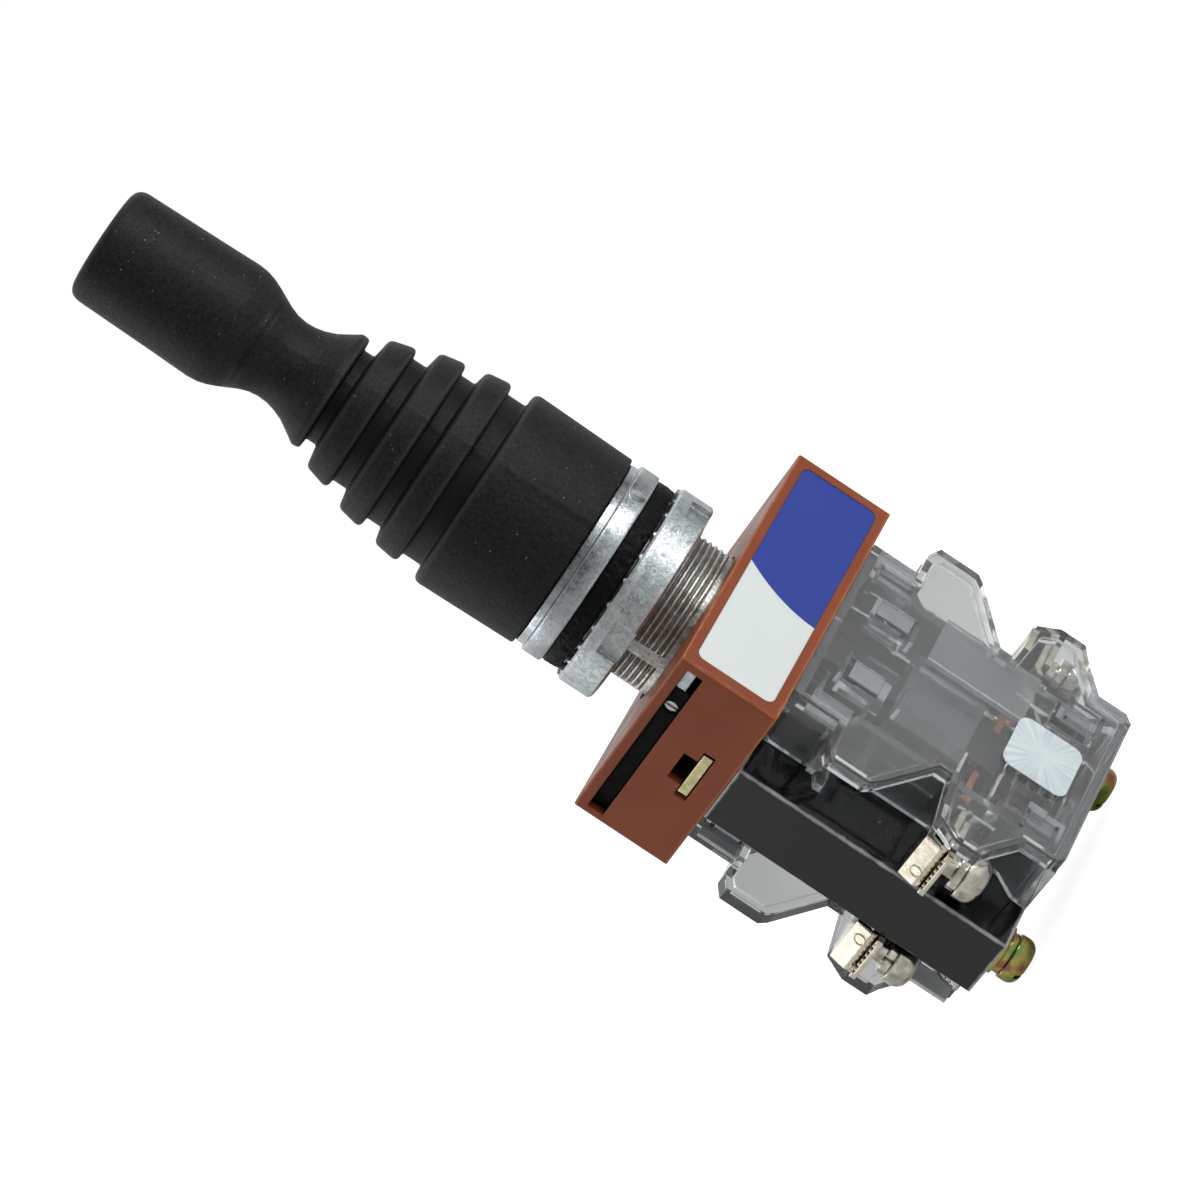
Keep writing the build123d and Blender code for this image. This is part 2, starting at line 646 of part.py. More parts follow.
def wing_gusset():
    """Web in front of a front wing, with a snap hook that leans back to the carrier."""
    z1 = base_z0 - WING_1_Z
    x = (BODY_HALF_W - TRAY_INSET / 2, BODY_HALF_W + GUSSET_W)
    web = block(x, (-cover_in_y, -GUSSET_IN_Y), (z1 - GUSSET_T, z1))
    tip_y = -CARRIER_T / 2 - CONTACT_GAP
    outline = [
        (-GUSSET_IN_Y - GUSSET_T, z1), (-GUSSET_IN_Y, z1), (tip_y, z1 - HOOK_DROP + GUSSET_T),
        (tip_y, z1 - HOOK_DROP), (tip_y - GUSSET_T, z1 - HOOK_DROP), (-GUSSET_IN_Y - GUSSET_T, z1 - GUSSET_T),
    ]
    hook = extrude(Plane.YZ * make_face(Polyline(*outline, close=True)), HOOK_W)
    return web + Pos(x[0], 0, 0) * hook


def contact_cover(back):
    """Clear cover with two pairs of wings, dished on its inner side, with pads and snap hooks."""
    cover = outline_solid(cover_outline(), -BLOCK_OUT_Y, -cover_in_y)
    cover -= outline_solid(cover_outline(), -BLOCK_OUT_Y + COVER_SKIN, -cover_in_y + 1, BLOCK_WALL)
    for shape in (wing_gusset(), pad(PAD_X, base_z0 - PAD_FROM_BASE),
                  pad(TAIL_PAD_X, carrier_z0 + TAIL_PAD_FROM_REAR + PAD_L)):
        cover += [shape, mirror(shape, Plane.YZ)]
    return on_side(cover, back)


def housing_outline():
    """Half outline of the tray behind the cover."""
    front_x, tail_x = BODY_HALF_W - TRAY_INSET, TAIL_HALF_W - TRAY_INSET
    return [
        (front_x, 0), (front_x, WING_1_Z), (WAIST_HALF_W, WING_1_Z + TRAY_STEP),
        (WAIST_HALF_W, TAIL_Z), (tail_x, TAIL_Z + TRAY_STEP), (tail_x, CARRIER_L),
    ]


def plunger_way(z):
    """Square way for the plunger's stem through a wall."""
    half_w, half_t = PLUNGER_W / 2 + FREE_FIT, PLUNGER_T / 2 + FREE_FIT
    return block((-half_w, half_w), (-PLUNGER_Y - half_t, -PLUNGER_Y + half_t), z)


def plunger_well():
    """Inner channel round the plunger, open to the carrier and held to the tray by two ribs."""
    x, y = WELL_HALF_W, -well_y - WELL_SKIN
    well = block((-x, x), (y, -block_in_y), (well_z0, well_z1))
    x_in = x - WELL_SKIN
    well -= block((-x_in, x_in), (-well_y, -block_in_y + 1), (well_z0 - 1, well_z1 - WELL_SKIN))
    reach = WAIST_HALF_W - BLOCK_WALL / 2
    rib = block((x_in, reach), (-block_in_y - WELL_RIB_DEPTH, -block_in_y), (well_z1 - WELL_SKIN, well_z1))
    return well + [rib, mirror(rib, Plane.YZ)] - plunger_way((well_z1 - 2 * WELL_SKIN, well_z1 + 1))


def contact_housing(back):
    """Clear walls of a contact block, open to the carrier, with ways for plunger and strips."""
    y = (-housing_out_y, -block_in_y)
    tray = outline_solid(housing_outline(), *y)
    tray -= outline_solid(housing_outline(), y[0] - 1, y[1] + 1, BLOCK_WALL)
    tray -= plunger_way((base_z0 - 2 * BLOCK_WALL, base_z0 + 1))
    exit_y = STRIP_W / 2 + FREE_FIT
    exit_z = (strip_z1 - STRIP_T - FREE_FIT, terminal_z0 + STRIP_T + FREE_FIT)
    exits = block((-BODY_HALF_W, BODY_HALF_W), (-PLUNGER_Y - exit_y, -PLUNGER_Y + exit_y), exit_z)
    return on_side(tray - exits + plunger_well(), back)


def pushrod(back):
    """Half-round slider in the neck, between the rocker and a contact block's plunger."""
    slider_r = NECK_BORE_R - CONTACT_GAP
    slider = rod(slider_r, plunger_z1, pushrod_z1)
    slider &= block((-slider_r, slider_r), (-slider_r, -PUSHROD_FLAT_Y), (plunger_z1, pushrod_z1))
    return on_side(slider, back)


def plunger(back):
    """Moulded plunger: tongue in the neck, yoke round the bridge, post for the return spring."""
    y0, y1 = -PLUNGER_Y - PLUNGER_T / 2, -PLUNGER_Y + PLUNGER_T / 2
    stem = block((-PLUNGER_W / 2, PLUNGER_W / 2), (y0, y1), (yoke_z1, stem_z1))
    stem += block((-PLUNGER_W / 2, PLUNGER_W / 2), (y1 - TONGUE_T, y1), (stem_z1, plunger_z1))
    yoke = block((-YOKE_W / 2, YOKE_W / 2), (y0, y1), (yoke_z0, yoke_z1))
    window_half = BRIDGE_W / 2 + SEAT_GAP
    yoke -= block((-YOKE_W, YOKE_W), (-PLUNGER_Y - window_half, -PLUNGER_Y + window_half),
                  (bridge_z0, yoke_z1 - YOKE_SKIN))
    post = rod(POST_R, yoke_z0 - POST_L, yoke_z0, 0, -PLUNGER_Y)
    return on_side(stem + yoke + post, back)


def bridge(back):
    """Copper bridge with a silver button at each end."""
    strip = block((-BRIDGE_HALF_L, BRIDGE_HALF_L), (-PLUNGER_Y - BRIDGE_W / 2, -PLUNGER_Y + BRIDGE_W / 2),
                  (bridge_z0, bridge_z1))
    for side in (-1, 1):
        strip += rod(BUTTON_R, bridge_z0 - BUTTON_H, bridge_z0, side * BUTTON_X, -PLUNGER_Y)
    return on_side(strip, back)


def contact_spring(back):
    """Small spring that presses the bridge on its seat in the yoke."""
    spring = coil(CONTACT_SPRING_R, SPRING_WIRE_R, CONTACT_SPRING_L, CONTACT_SPRING_TURNS)
    return on_side(Pos(0, -PLUNGER_Y, bridge_z1) * spring, back)


def return_spring(back):
    """Spring between the plunger and the block's rear wall."""
    length = yoke_z0 - (carrier_z0 + BLOCK_WALL)
    spring = coil(RETURN_SPRING_R, SPRING_WIRE_R, length, RETURN_SPRING_TURNS)
    return on_side(Pos(0, -PLUNGER_Y, carrier_z0 + BLOCK_WALL) * spring, back)


def fixed_strip(side, back):
    """Bent strip from the fixed contact out to the folded terminal."""
    inner, outer, rear_x = STRIP_INNER_X, terminal_x, terminal_x + TERMINAL_LEAN
    bend_x, fold_x = inner + STRIP_FLAT_L, outer - TERMINAL_L
    floor_z1, roof_z0 = terminal_z0 + STRIP_T, terminal_z1 - STRIP_T
    path = [
        (inner, strip_z1), (bend_x, strip_z1), (fold_x, floor_z1), (rear_x - STRIP_T, floor_z1),
        (outer - STRIP_T, roof_z0), (fold_x + 1, roof_z0), (fold_x + 1, terminal_z1),
        (outer, terminal_z1), (rear_x, terminal_z0), (fold_x, terminal_z0),
        (bend_x, strip_z1 - STRIP_T), (inner, strip_z1 - STRIP_T),
    ]
    face = Plane.XZ * make_face(Polyline(*path, close=True))
    strip = Pos(0, -TERMINAL_Y + TERMINAL_W / 2, 0) * extrude(face, TERMINAL_W)
    corner = Vertex(rear_x, -TERMINAL_Y, terminal_z0)
    strip = fillet(strip.edges().filter_by(Axis.Y).sort_by_distance(corner)[0], TERMINAL_EDGE_R)
    trim_y = (-PLUNGER_Y - STRIP_W / 2, -PLUNGER_Y + STRIP_W / 2)
    for y in ((-BLOCK_OUT_Y, trim_y[0]), (trim_y[1], 0)):
        strip -= block((inner - 1, fold_x - 1), y, (strip_z1 - 2, terminal_z1 + 1))
    strip += rod(BUTTON_R, strip_z1, button_z1, BUTTON_X, -PLUNGER_Y)
    hole = rod(TERMINAL_SCREW_R + RUNNING_FIT, terminal_z0 - 1, floor_z1 + 1)
    strip -= Pos(terminal_screw_x, -TERMINAL_Y, 0) * hole
    shape = strip if side > 0 else mirror(strip, Plane.YZ)
    return on_side(shape, back)


def terminal_pair(shape, back):
    """Two copies of a terminal piece, one over each end of a contact block."""
    at = Pos(terminal_screw_x, -TERMINAL_Y, 0) * shape
    return Compound([on_side(at, back), on_side(mirror(at, Plane.YZ), back)])


def saddles(back):
    """Pressure plates with turned edges that grip the wires."""
    z1 = terminal_z0 - SEAT_GAP - SADDLE_LIP_H
    half_l, half_w = SADDLE_L / 2, SADDLE_W / 2
    plate = block((-half_l, half_l), (-half_w, half_w), (z1 - SADDLE_T, z1))
    for side in (-1, 1):
        y = (side * half_w - SADDLE_LIP_T / 2, side * half_w + SADDLE_LIP_T / 2)
        plate += block((-half_l, half_l), y, (z1 - SADDLE_T, z1 + SADDLE_LIP_H))
    plate -= rod(TERMINAL_SCREW_R + SEAT_GAP, z1 - SADDLE_T - 1, z1 + 1)
    return terminal_pair(plate, back)


def saddle_z0():
    """Rear face of the pressure plates."""
    return terminal_z0 - SEAT_GAP - SADDLE_LIP_H - SADDLE_T


def lock_washers(back):
    """Spring washers under the terminal screws."""
    z1 = saddle_z0() - SEAT_GAP / 2 - TERMINAL_SCREW_OUT
    return terminal_pair(split_washer(TERMINAL_SCREW_R + SEAT_GAP, LOCK_WASHER_R, LOCK_WASHER_T, z1), back)


def terminal_screws(back):
    """Cross-slotted terminal screws, driven from behind."""
    seat_z = saddle_z0() - SEAT_GAP - TERMINAL_SCREW_OUT - LOCK_WASHER_T
    screw = pan_head(HEAD_R, HEAD_H, seat_z) + rod(TERMINAL_SCREW_R, seat_z, terminal_z0 + STRIP_T)
    bottom = seat_z - HEAD_H
    half_l, half_w = HEAD_CROSS_L / 2, HEAD_CROSS_W / 2
    depth = (bottom - 1, bottom + HEAD_CROSS_DEPTH)
    screw -= block((-half_l, half_l), (-half_w, half_w), depth)
    screw -= block((-half_w, half_w), (-half_l, half_l), depth)
    return terminal_pair(screw, back)


def seal_sticker():
    """Small foil seal on the label side's cover."""
    z = carrier_z0 + SEAL_FROM_REAR
    face = Plane.XZ * RectangleRounded(SEAL_SIZE, SEAL_SIZE, SEAL_CORNER_R)
    return Pos(SEAL_X, -BLOCK_OUT_Y, z) * extrude(face, SEAL_T)


def all_nodes():
    """Every piece by its node name."""
    nodes = {
        "head_body": head_body(), "panel_gasket": panel_gasket(), "locknut": locknut(),
        "boot_collar": boot_collar(), "boot_bellows": boot_bellows(), "grip": grip(),
        "lever_rod": lever_rod(), "rocker": rocker(), "pivot_pin": pivot_pin(),
        "base_housing": base_housing(), "base_label": base_label(), "latch_plate": latch_plate(),
        "latch_spring": latch_spring(), "clamp_bar": clamp_bar(), "clamp_insert": clamp_insert(),
        "clamp_screw": clamp_screw(), "contact_carrier": contact_carrier(),
        "carrier_screws": carrier_screws(), "carrier_washers": carrier_washers(),
        "carrier_spring_washers": carrier_spring_washers(), "seal_sticker": seal_sticker(),
    }
    for name, back in (("front", False), ("back", True)):
        nodes.update({
            f"{name}_cover": contact_cover(back), f"{name}_contact_housing": contact_housing(back),
            f"{name}_pushrod": pushrod(back), f"{name}_plunger": plunger(back),
            f"{name}_bridge": bridge(back), f"{name}_contact_spring": contact_spring(back),
            f"{name}_return_spring": return_spring(back), f"{name}_strip_right": fixed_strip(1, back),
            f"{name}_strip_left": fixed_strip(-1, back), f"{name}_saddles": saddles(back),
            f"{name}_lock_washers": lock_washers(back), f"{name}_terminal_screws": terminal_screws(back),
        })
    return nodes


def main():
    """Write one STEP file for each node."""
    os.makedirs("parts", exist_ok=True)
    for name, shape in all_nodes().items():
        export_step(shape, f"parts/{name}.step")


main()
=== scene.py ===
import logging
import math
from dataclasses import dataclass
from enum import Enum

import bmesh
import bpy
from mathutils import Matrix, Vector, noise


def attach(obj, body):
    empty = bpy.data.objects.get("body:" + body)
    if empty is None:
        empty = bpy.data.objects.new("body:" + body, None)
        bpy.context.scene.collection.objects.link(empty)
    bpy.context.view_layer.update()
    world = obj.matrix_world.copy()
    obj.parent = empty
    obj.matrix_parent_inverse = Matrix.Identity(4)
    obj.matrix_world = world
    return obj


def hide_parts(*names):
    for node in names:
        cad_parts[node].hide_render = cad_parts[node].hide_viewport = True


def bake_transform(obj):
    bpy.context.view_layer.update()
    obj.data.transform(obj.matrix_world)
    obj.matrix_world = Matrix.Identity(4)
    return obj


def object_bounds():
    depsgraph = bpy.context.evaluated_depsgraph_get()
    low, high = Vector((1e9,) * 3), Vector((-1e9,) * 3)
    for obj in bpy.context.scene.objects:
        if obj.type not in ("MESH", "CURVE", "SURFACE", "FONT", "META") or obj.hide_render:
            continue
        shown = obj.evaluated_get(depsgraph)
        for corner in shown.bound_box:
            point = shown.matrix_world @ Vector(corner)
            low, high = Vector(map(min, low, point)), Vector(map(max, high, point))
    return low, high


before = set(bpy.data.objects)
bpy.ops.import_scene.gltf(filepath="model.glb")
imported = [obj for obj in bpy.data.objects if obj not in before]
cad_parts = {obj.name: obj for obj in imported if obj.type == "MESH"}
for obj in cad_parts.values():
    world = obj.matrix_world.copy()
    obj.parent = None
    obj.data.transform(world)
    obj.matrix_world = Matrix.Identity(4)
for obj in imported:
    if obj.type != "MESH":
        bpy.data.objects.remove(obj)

log = logging.getLogger("joystick")
MM = 0.001
CAD_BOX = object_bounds()

Node = bpy.types.Node
Socket = bpy.types.NodeSocket
Source = Node | Socket
Tree = bpy.types.NodeTree
Piece = bpy.types.Object
Pair = tuple[float, float]
Point = tuple[float, float, float]


class Body(Enum):
    """The moving groups of the control that a piece can ride on."""

    HOUSING = "housing"
    LEVER = "lever"
    FRONT_PLUNGER = "front_plunger_set"
    BACK_PLUNGER = "back_plunger_set"
    LATCH = "latch"


def linear(hex_colour: str) -> tuple[float, float, float, float]:
    """Turns an sRGB hex colour to linear values.

    Args:
        hex_colour: Six hex digits.

    Returns:
        Linear red, green, blue and an alpha of one.
    """
    channels = [int(hex_colour[i:i + 2], 16) / 255 for i in (0, 2, 4)]
    red, green, blue = (c / 12.92 if c <= 0.04045 else ((c + 0.055) / 1.055) ** 2.4 for c in channels)
    return red, green, blue, 1.0


def per(size: float) -> float:
    """Turns a pattern's size in millimetres to a texture's scale in metres."""
    return 1000 / size


def add(at: Tree | Source, kind: str, inputs: dict | None = None, **settings: object) -> Node:
    """Adds a node with its settings and links.

    Args:
        at: The node tree to add to, or any node or socket in it.
        kind: The node's type name, where ShaderNode may be left out.
        inputs: Socket name or number to a value, a socket, or a node that stands for its first output.
        **settings: Attributes of the node.

    Returns:
        The new node.
    """
    tree = at.id_data
    node = tree.nodes.new(kind if "Node" in kind else f"ShaderNode{kind}")
    for name, value in settings.items():
        setattr(node, name, value)
    for key, value in (inputs or {}).items():
        source = value.outputs[0] if isinstance(value, Node) else value
        if isinstance(source, Socket):
            tree.links.new(source, node.inputs[key])
        else:
            node.inputs[key].default_value = source
    return node


def emptied(owner: bpy.types.Material | bpy.types.World) -> Tree:
    """Switches a material or a world to nodes and empties its tree.

    Args:
        owner: The material or the world.

    Returns:
        Its node tree, without nodes.
    """
    owner.use_nodes = True
    owner.node_tree.nodes.clear()
    return owner.node_tree


def tinted(ground: Source | tuple, tone: str, measure: Source, levels: Pair = (0.0, 1.0),
           shares: Pair = (0.0, 1.0)) -> Socket:
    """Lays a tone over a ground where a measure calls for it.

    Args:
        ground: The colour below.
        tone: The colour on top, in hex.
        measure: What the tone's share follows.
        levels: Two values of the measure.
        shares: The tone's share at each of them.

    Returns:
        The mixed colour.
    """
    share = add(measure, "MapRange", {0: measure, 1: levels[0], 2: levels[1], 3: shares[0], 4: shares[1]})
    return add(measure, "Mix", {"Factor": share, 6: ground, 7: linear(tone)}, data_type="RGBA").outputs[2]


@dataclass(frozen=True)
class Finish:
    """A surface: what it is made of and how it was made.

    Sizes are in millimetres on the real object.
    """

    name: str
    colour: str
    shade: str
    roughness: float
    metallic: float = 0.0
    ior: float = 1.5
    specular: float = 0.5
    grain: float = 0.3
    grain_depth: float = 0.004
    mottle: float = 4.0
    mottle_band: Pair = (0.35, 0.65)
    edge: float = 0.12
    rough_swing: float = 0.08
    rough_patch: float = 0.6
    rough_band: Pair = (0.3, 0.7)
    # Edge tone and its band along a block's outer edges: a painted highlight, and on the housing also wear.
    wear_and_highlight: str = ""
    wear_highlight_width: float = 0.5
    wear_highlight_band: Pair = (0.6, 1.2)
    wear_highlight_swing: float = 0.8
    wear_highlight_patch: float = 1.5
    wear_highlight_share: float = 0.85
    middle: Point = (0.0, 0.0, 0.0)
    half: Point = (1.0, 1.0, 1.0)

    def base(self, place: Socket) -> Socket:
        """Mottles the surface slowly between its two tones.

        Args:
            place: Object coordinates.

        Returns:
            The colour.
        """
        cloud = add(place, "TexNoise", {"Vector": place, "Scale": per(self.mottle), "Detail": 4.0})
        return tinted(linear(self.colour), self.shade, cloud, self.mottle_band)

    def relief(self, place: Socket) -> Source:
        """Softens the edges and lays a fine grain over them.

        Args:
            place: Object coordinates.

        Returns:
            The normal.
        """
        edges = add(place, "Bevel", {"Radius": self.edge * MM}, samples=6)
        grain = add(place, "TexNoise", {"Vector": place, "Scale": per(self.grain), "Detail": 3.0})
        return add(place, "Bump", {"Height": grain, "Distance": self.grain_depth * MM, "Normal": edges})

    def below(self, place: Socket) -> list[Socket]:
        """Measures how deep a point lies in a block-shaped moulding.

        Args:
            place: Object coordinates.

        Returns:
            The depths in millimetres below the outer faces along X, Y and Z.
        """
        scaled = add(place, "VectorMath", {0: place, "Scale": per(1.0)}, operation="SCALE")
        off = add(place, "VectorMath", {0: scaled, 1: self.middle}, operation="SUBTRACT")
        away = add(place, "VectorMath", {0: off}, operation="ABSOLUTE")
        depths = add(place, "VectorMath", {0: self.half, 1: away}, operation="SUBTRACT")
        return list(add(place, "SeparateXYZ", {0: depths}).outputs)

    def worn_and_highlit(self, place: Socket, ground: Socket) -> Socket:
        """Lays the edge tone, where the surface has one, along the block's outer edges: painted highlight,
        and partly wear.

        Args:
            place: Object coordinates.
            ground: The colour of the unworn surface.

        Returns:
            The colour. An edge is where the second smallest of the three depths is small.
        """
        if not self.wear_and_highlight:
            return ground
        x, y, z = self.below(place)
        low = add(place, "Math", {0: x, 1: y}, operation="MINIMUM")
        high = add(place, "Math", {0: x, 1: y}, operation="MAXIMUM")
        rest = add(place, "Math", {0: high, 1: z}, operation="MINIMUM")
        second = add(place, "Math", {0: low, 1: rest}, operation="MAXIMUM")
        patchy = add(place, "TexNoise", {"Vector": place, "Scale": per(self.wear_highlight_patch), "Detail": 4.0})
        ragged = add(place, "Math", {0: patchy, 1: self.wear_highlight_width * self.wear_highlight_swing, 2: second},
                     operation="MULTIPLY_ADD")
        start, end = self.wear_highlight_band
        return tinted(ground, self.wear_and_highlight, ragged, (self.wear_highlight_width * start, self.wear_highlight_width * end),
                      (self.wear_highlight_share, 0.0))

    def finish_shader(self, shader: Node) -> None:
        """Sets what only some surfaces have."""

    def material(self) -> bpy.types.Material:
        """Builds the material.

        Returns:
            The material, made once and then reused.
        """
        made = bpy.data.materials.get(self.name)
        if made:
            return made
        made = bpy.data.materials.new(self.name)
        tree = emptied(made)
        place = add(tree, "TexCoord").outputs["Object"]
        patches = add(place, "TexNoise", {
            "Vector": place, "Scale": per(self.mottle * self.rough_patch), "Detail": 5.0,
        })
        rough = add(place, "MapRange", {
            0: patches, 1: self.rough_band[0], 2: self.rough_band[1],
            3: self.roughness - self.rough_swing, 4: self.roughness + self.rough_swing,
        })
        shader = add(place, "BsdfPrincipled", {
            "Base Color": self.worn_and_highlit(place, self.base(place)), "Roughness": rough,
            "Normal": self.relief(place), "Metallic": self.metallic, "IOR": self.ior,
            "Specular IOR Level": self.specular,
        })
        self.finish_shader(shader)
        add(tree, "OutputMaterial", {"Surface": shader})
        return made


@dataclass(frozen=True)
class Rubber(Finish):
    """Moulded rubber or resin: black, with a fine grain and pale specks: dust, and on the gasket painted
    glints.
    """

    speck: float = 0.9
    speck_core: Pair = (0.05, 0.13)
    speck_share: float = 0.3
    # Tone of the pale specks: dust, and on the gasket painted glints.
    dust_and_glint: str = "8E908E"
    dust_and_glint_share: float = 0.9

    def base(self, place: Socket) -> Socket:
        """Sows sparse specks of uneven strength on the black ground.

        Args:
            place: Object coordinates.

        Returns:
            The colour.
        """
        cells = add(place, "TexVoronoi", {"Vector": place, "Scale": per(self.speck)})
        near, far = self.speck_core
        core = add(place, "MapRange", {0: cells, 1: near, 2: far, 3: 1.0, 4: 0.0})
        pick = add(place, "SeparateColor", {0: cells.outputs["Color"]})
        rare = add(place, "MapRange", {0: pick, 1: 1 - self.speck_share, 2: 1.0, 3: 0.0,
                                                4: self.dust_and_glint_share})
        share = add(place, "Math", {0: core, 1: rare}, operation="MULTIPLY")
        return tinted(super().base(place), self.dust_and_glint, share)


@dataclass(frozen=True)
class BootRubber(Rubber):
    """The boot's rubber: painted shade down in the grooves, and a painted highlight along the rings' edges.
    """

    # Painted shade in the grooves and painted highlight at the ring edges: tones and shares.
    groove_shade: str = "030303"
    groove_shade_share: float = 0.85
    crest_highlight: str = "343535"
    crest_highlight_share: float = 0.55

    def base(self, place: Socket) -> Socket:
        """Paints shade by the groove_shade attribute and a highlight by the crest_highlight attribute on the
        dusty black.

        Args:
            place: Object coordinates.

        Returns:
            The colour.
        """
        ground = super().base(place)
        painted_tones = ("groove_shade", self.groove_shade, self.groove_shade_share), ("crest_highlight", self.crest_highlight, self.crest_highlight_share)
        for name, tone, share in painted_tones:
            given = add(place, "Attribute", attribute_name=name).outputs["Fac"]
            ground = tinted(ground, tone, given, shares=(0.0, share))
        return ground


@dataclass(frozen=True)
class CastZinc(Finish):
    """Die-cast zinc: cold flow marks make grey clouds, brighter where it was rubbed."""

    stain: str = "7E868C"
    stain_size: float = 0.5
    stain_band: Pair = (0.5, 0.7)
    stain_share: float = 0.7
    crystal: float = 0.3
    sparkle: float = 0.07

    def base(self, place: Socket) -> Socket:
        """Scuffs the pale grey with a darker blue-grey of a finer scale.

        Args:
            place: Object coordinates.

        Returns:
            The colour.
        """
        stains = add(place, "TexNoise", {"Vector": place, "Scale": per(self.stain_size), "Detail": 7.0,
                                                  "Roughness": 0.75})
        return tinted(super().base(place), self.stain, stains, self.stain_band,
                      (0.0, self.stain_share))

    def relief(self, place: Socket) -> Source:
        """Tilts each crystal of the casting a little its own way, drawn at about twice its size.

        Args:
            place: Object coordinates.

        Returns:
            The normal.
        """
        cells = add(place, "TexVoronoi", {"Vector": place, "Scale": per(self.crystal)})
        even = add(place, "VectorMath", {0: cells.outputs["Color"], 1: (0.5, 0.5, 0.5)},
                   operation="SUBTRACT")
        tilt = add(place, "VectorMath", {0: even, "Scale": self.sparkle}, operation="SCALE")
        tilted = add(place, "VectorMath", {0: super().relief(place), 1: tilt}, operation="ADD")
        return add(place, "VectorMath", {0: tilted}, operation="NORMALIZE")


@dataclass(frozen=True)
class MouldedBase(Finish):
    """Moulded housing: satin outside, and dark with painted shade down in its pockets."""

    # Painted shade down in the pockets: its tone, the depths it spans, and its share.
    pocket_shade: str = "120705"
    pocket_shade_depths: Pair = (0.4, 1.3)
    pocket_shade_share: float = 0.9

    def base(self, place: Socket) -> Socket:
        """Paints shade on the brown, darker with the depth below the housing's outer faces.

        Args:
            place: Object coordinates.

        Returns:
            The colour.
        """
        x, y, z = self.below(place)
        pair = add(place, "Math", {0: x, 1: y}, operation="MINIMUM")
        depth = add(place, "Math", {0: pair, 1: z}, operation="MINIMUM")
        return tinted(super().base(place), self.pocket_shade, depth, self.pocket_shade_depths, (0.0, self.pocket_shade_share))


@dataclass(frozen=True)
class Passivated(Finish):
    """Zinc-plated steel with a yellow passivation, whose thin film turns green and rose."""

    rose: str = "9C6B58"
    film_band: Point = (0.34, 0.5, 0.66)

    def base(self, place: Socket) -> Socket:
        """Runs through the film's colours as its thickness changes.

        Args:
            place: Object coordinates.

        Returns:
            The colour.
        """
        film = add(place, "TexNoise", {"Vector": place, "Scale": per(self.mottle), "Detail": 2.0})
        ramp = add(place, "ValToRGB", {0: film})
        stops = ramp.color_ramp.elements
        thin, even, thick = self.film_band
        stops[0].position, stops[0].color = thin, linear(self.shade)
        stops[1].position, stops[1].color = thick, linear(self.rose)
        stops.new(even).color = linear(self.colour)
        return ramp.outputs[0]


@dataclass(frozen=True)
class ClearPlastic(Finish):
    """Injection-moulded polycarbonate: clear, with faint flow waves."""

    ior: float = 1.585
    clarity: float = 0.972

    def finish_shader(self, shader: Node) -> None:
        """Lets most light through; the rest scatters as a thin milky veil."""
        shader.inputs["Transmission Weight"].default_value = self.clarity


@dataclass(frozen=True)
class LabelFilm(Finish):
    """Printed polyester label: a pale field and a blue one that meet on a curve, with no lettering."""

    blue: str = "2B3F92"
    low_x: float = -4.4
    low_z: float = -24.3
    bend: float = 0.031
    blur: float = 0.05

    def base(self, place: Socket) -> Socket:
        """Prints the film pale up to a hollow curve, lowest at the rear edge, and blue beyond it.

        Args:
            place: Object coordinates.

        Returns:
            The colour.
        """
        scaled = add(place, "VectorMath", {0: place, "Scale": per(1.0)}, operation="SCALE")
        x, _, z = add(place, "SeparateXYZ", {0: scaled}).outputs
        up = add(place, "Math", {0: z, 1: self.low_z}, operation="SUBTRACT")
        square = add(place, "Math", {0: up, 1: up}, operation="MULTIPLY")
        curve = add(place, "Math", {0: square, 1: self.bend, 2: self.low_x}, operation="MULTIPLY_ADD")
        over = add(place, "Math", {0: x, 1: curve}, operation="SUBTRACT")
        return tinted(super().base(place), self.blue, over, (-self.blur, self.blur))


@dataclass(frozen=True)
class FoilSeal(Finish):
    """Embossed foil: fine rays from the middle catch the light in turn."""

    centre: Point = (-0.6, -15.9, -57.3)
    rays: float = 7.0
    ray_band: Pair = (0.42, 0.62)
    dull: str = "D0DDE3"
    plain: float = 0.45
    fade: Pair = (0.8, 3.4)
    emboss: float = 0.08
    emboss_share: float = 0.45

    def sunburst(self, place: Socket) -> Node:
        """Draws uneven rays that fade towards the seal's centre.

        Args:
            place: Object coordinates.

        Returns:
            The rays, from 0 to 1.
        """
        off = add(place, "VectorMath", {0: place, 1: tuple(c * MM for c in self.centre)},
                  operation="SUBTRACT")
        x, _, z = add(place, "SeparateXYZ", {0: off}).outputs
        angle = add(place, "Math", {0: z, 1: x}, operation="ARCTAN2")
        turns = add(place, "Math", {0: angle, 1: self.rays}, operation="MULTIPLY")
        waves = add(place, "TexNoise", {"W": turns, "Scale": 1.0, "Detail": 3.0}, noise_dimensions="1D")
        far = add(place, "VectorMath", {0: off}, operation="LENGTH").outputs["Value"]
        fade = add(place, "MapRange", {0: far, 1: self.fade[0] * MM, 2: self.fade[1] * MM})
        return add(place, "Mix", {0: fade, 2: self.plain, 3: waves})

    def base(self, place: Socket) -> Socket:
        """Silver with slightly duller rays.

        Args:
            place: Object coordinates.

        Returns:
            The colour.
        """
        return tinted(super().base(place), self.dull, self.sunburst(place), self.ray_band)

    def relief(self, place: Socket) -> Source:
        """Embosses the rays in the foil.

        Args:
            place: Object coordinates.

        Returns:
            The normal.
        """
        return add(place, "Bump", {"Height": self.sunburst(place), "Distance": self.emboss * MM,
                                            "Strength": self.emboss_share})


# Neoprene, compression moulded: the grain scatters the light, so black looks charcoal on lit sides. The
# grain is drawn coarser than the mould's own, so that it shows.
BOOT_RUBBER = BootRubber("moulded_neoprene", "050506", "19191A", 0.58, specular=0.25, grain=0.34,
                         grain_depth=0.07, mottle=0.5, edge=0.05)
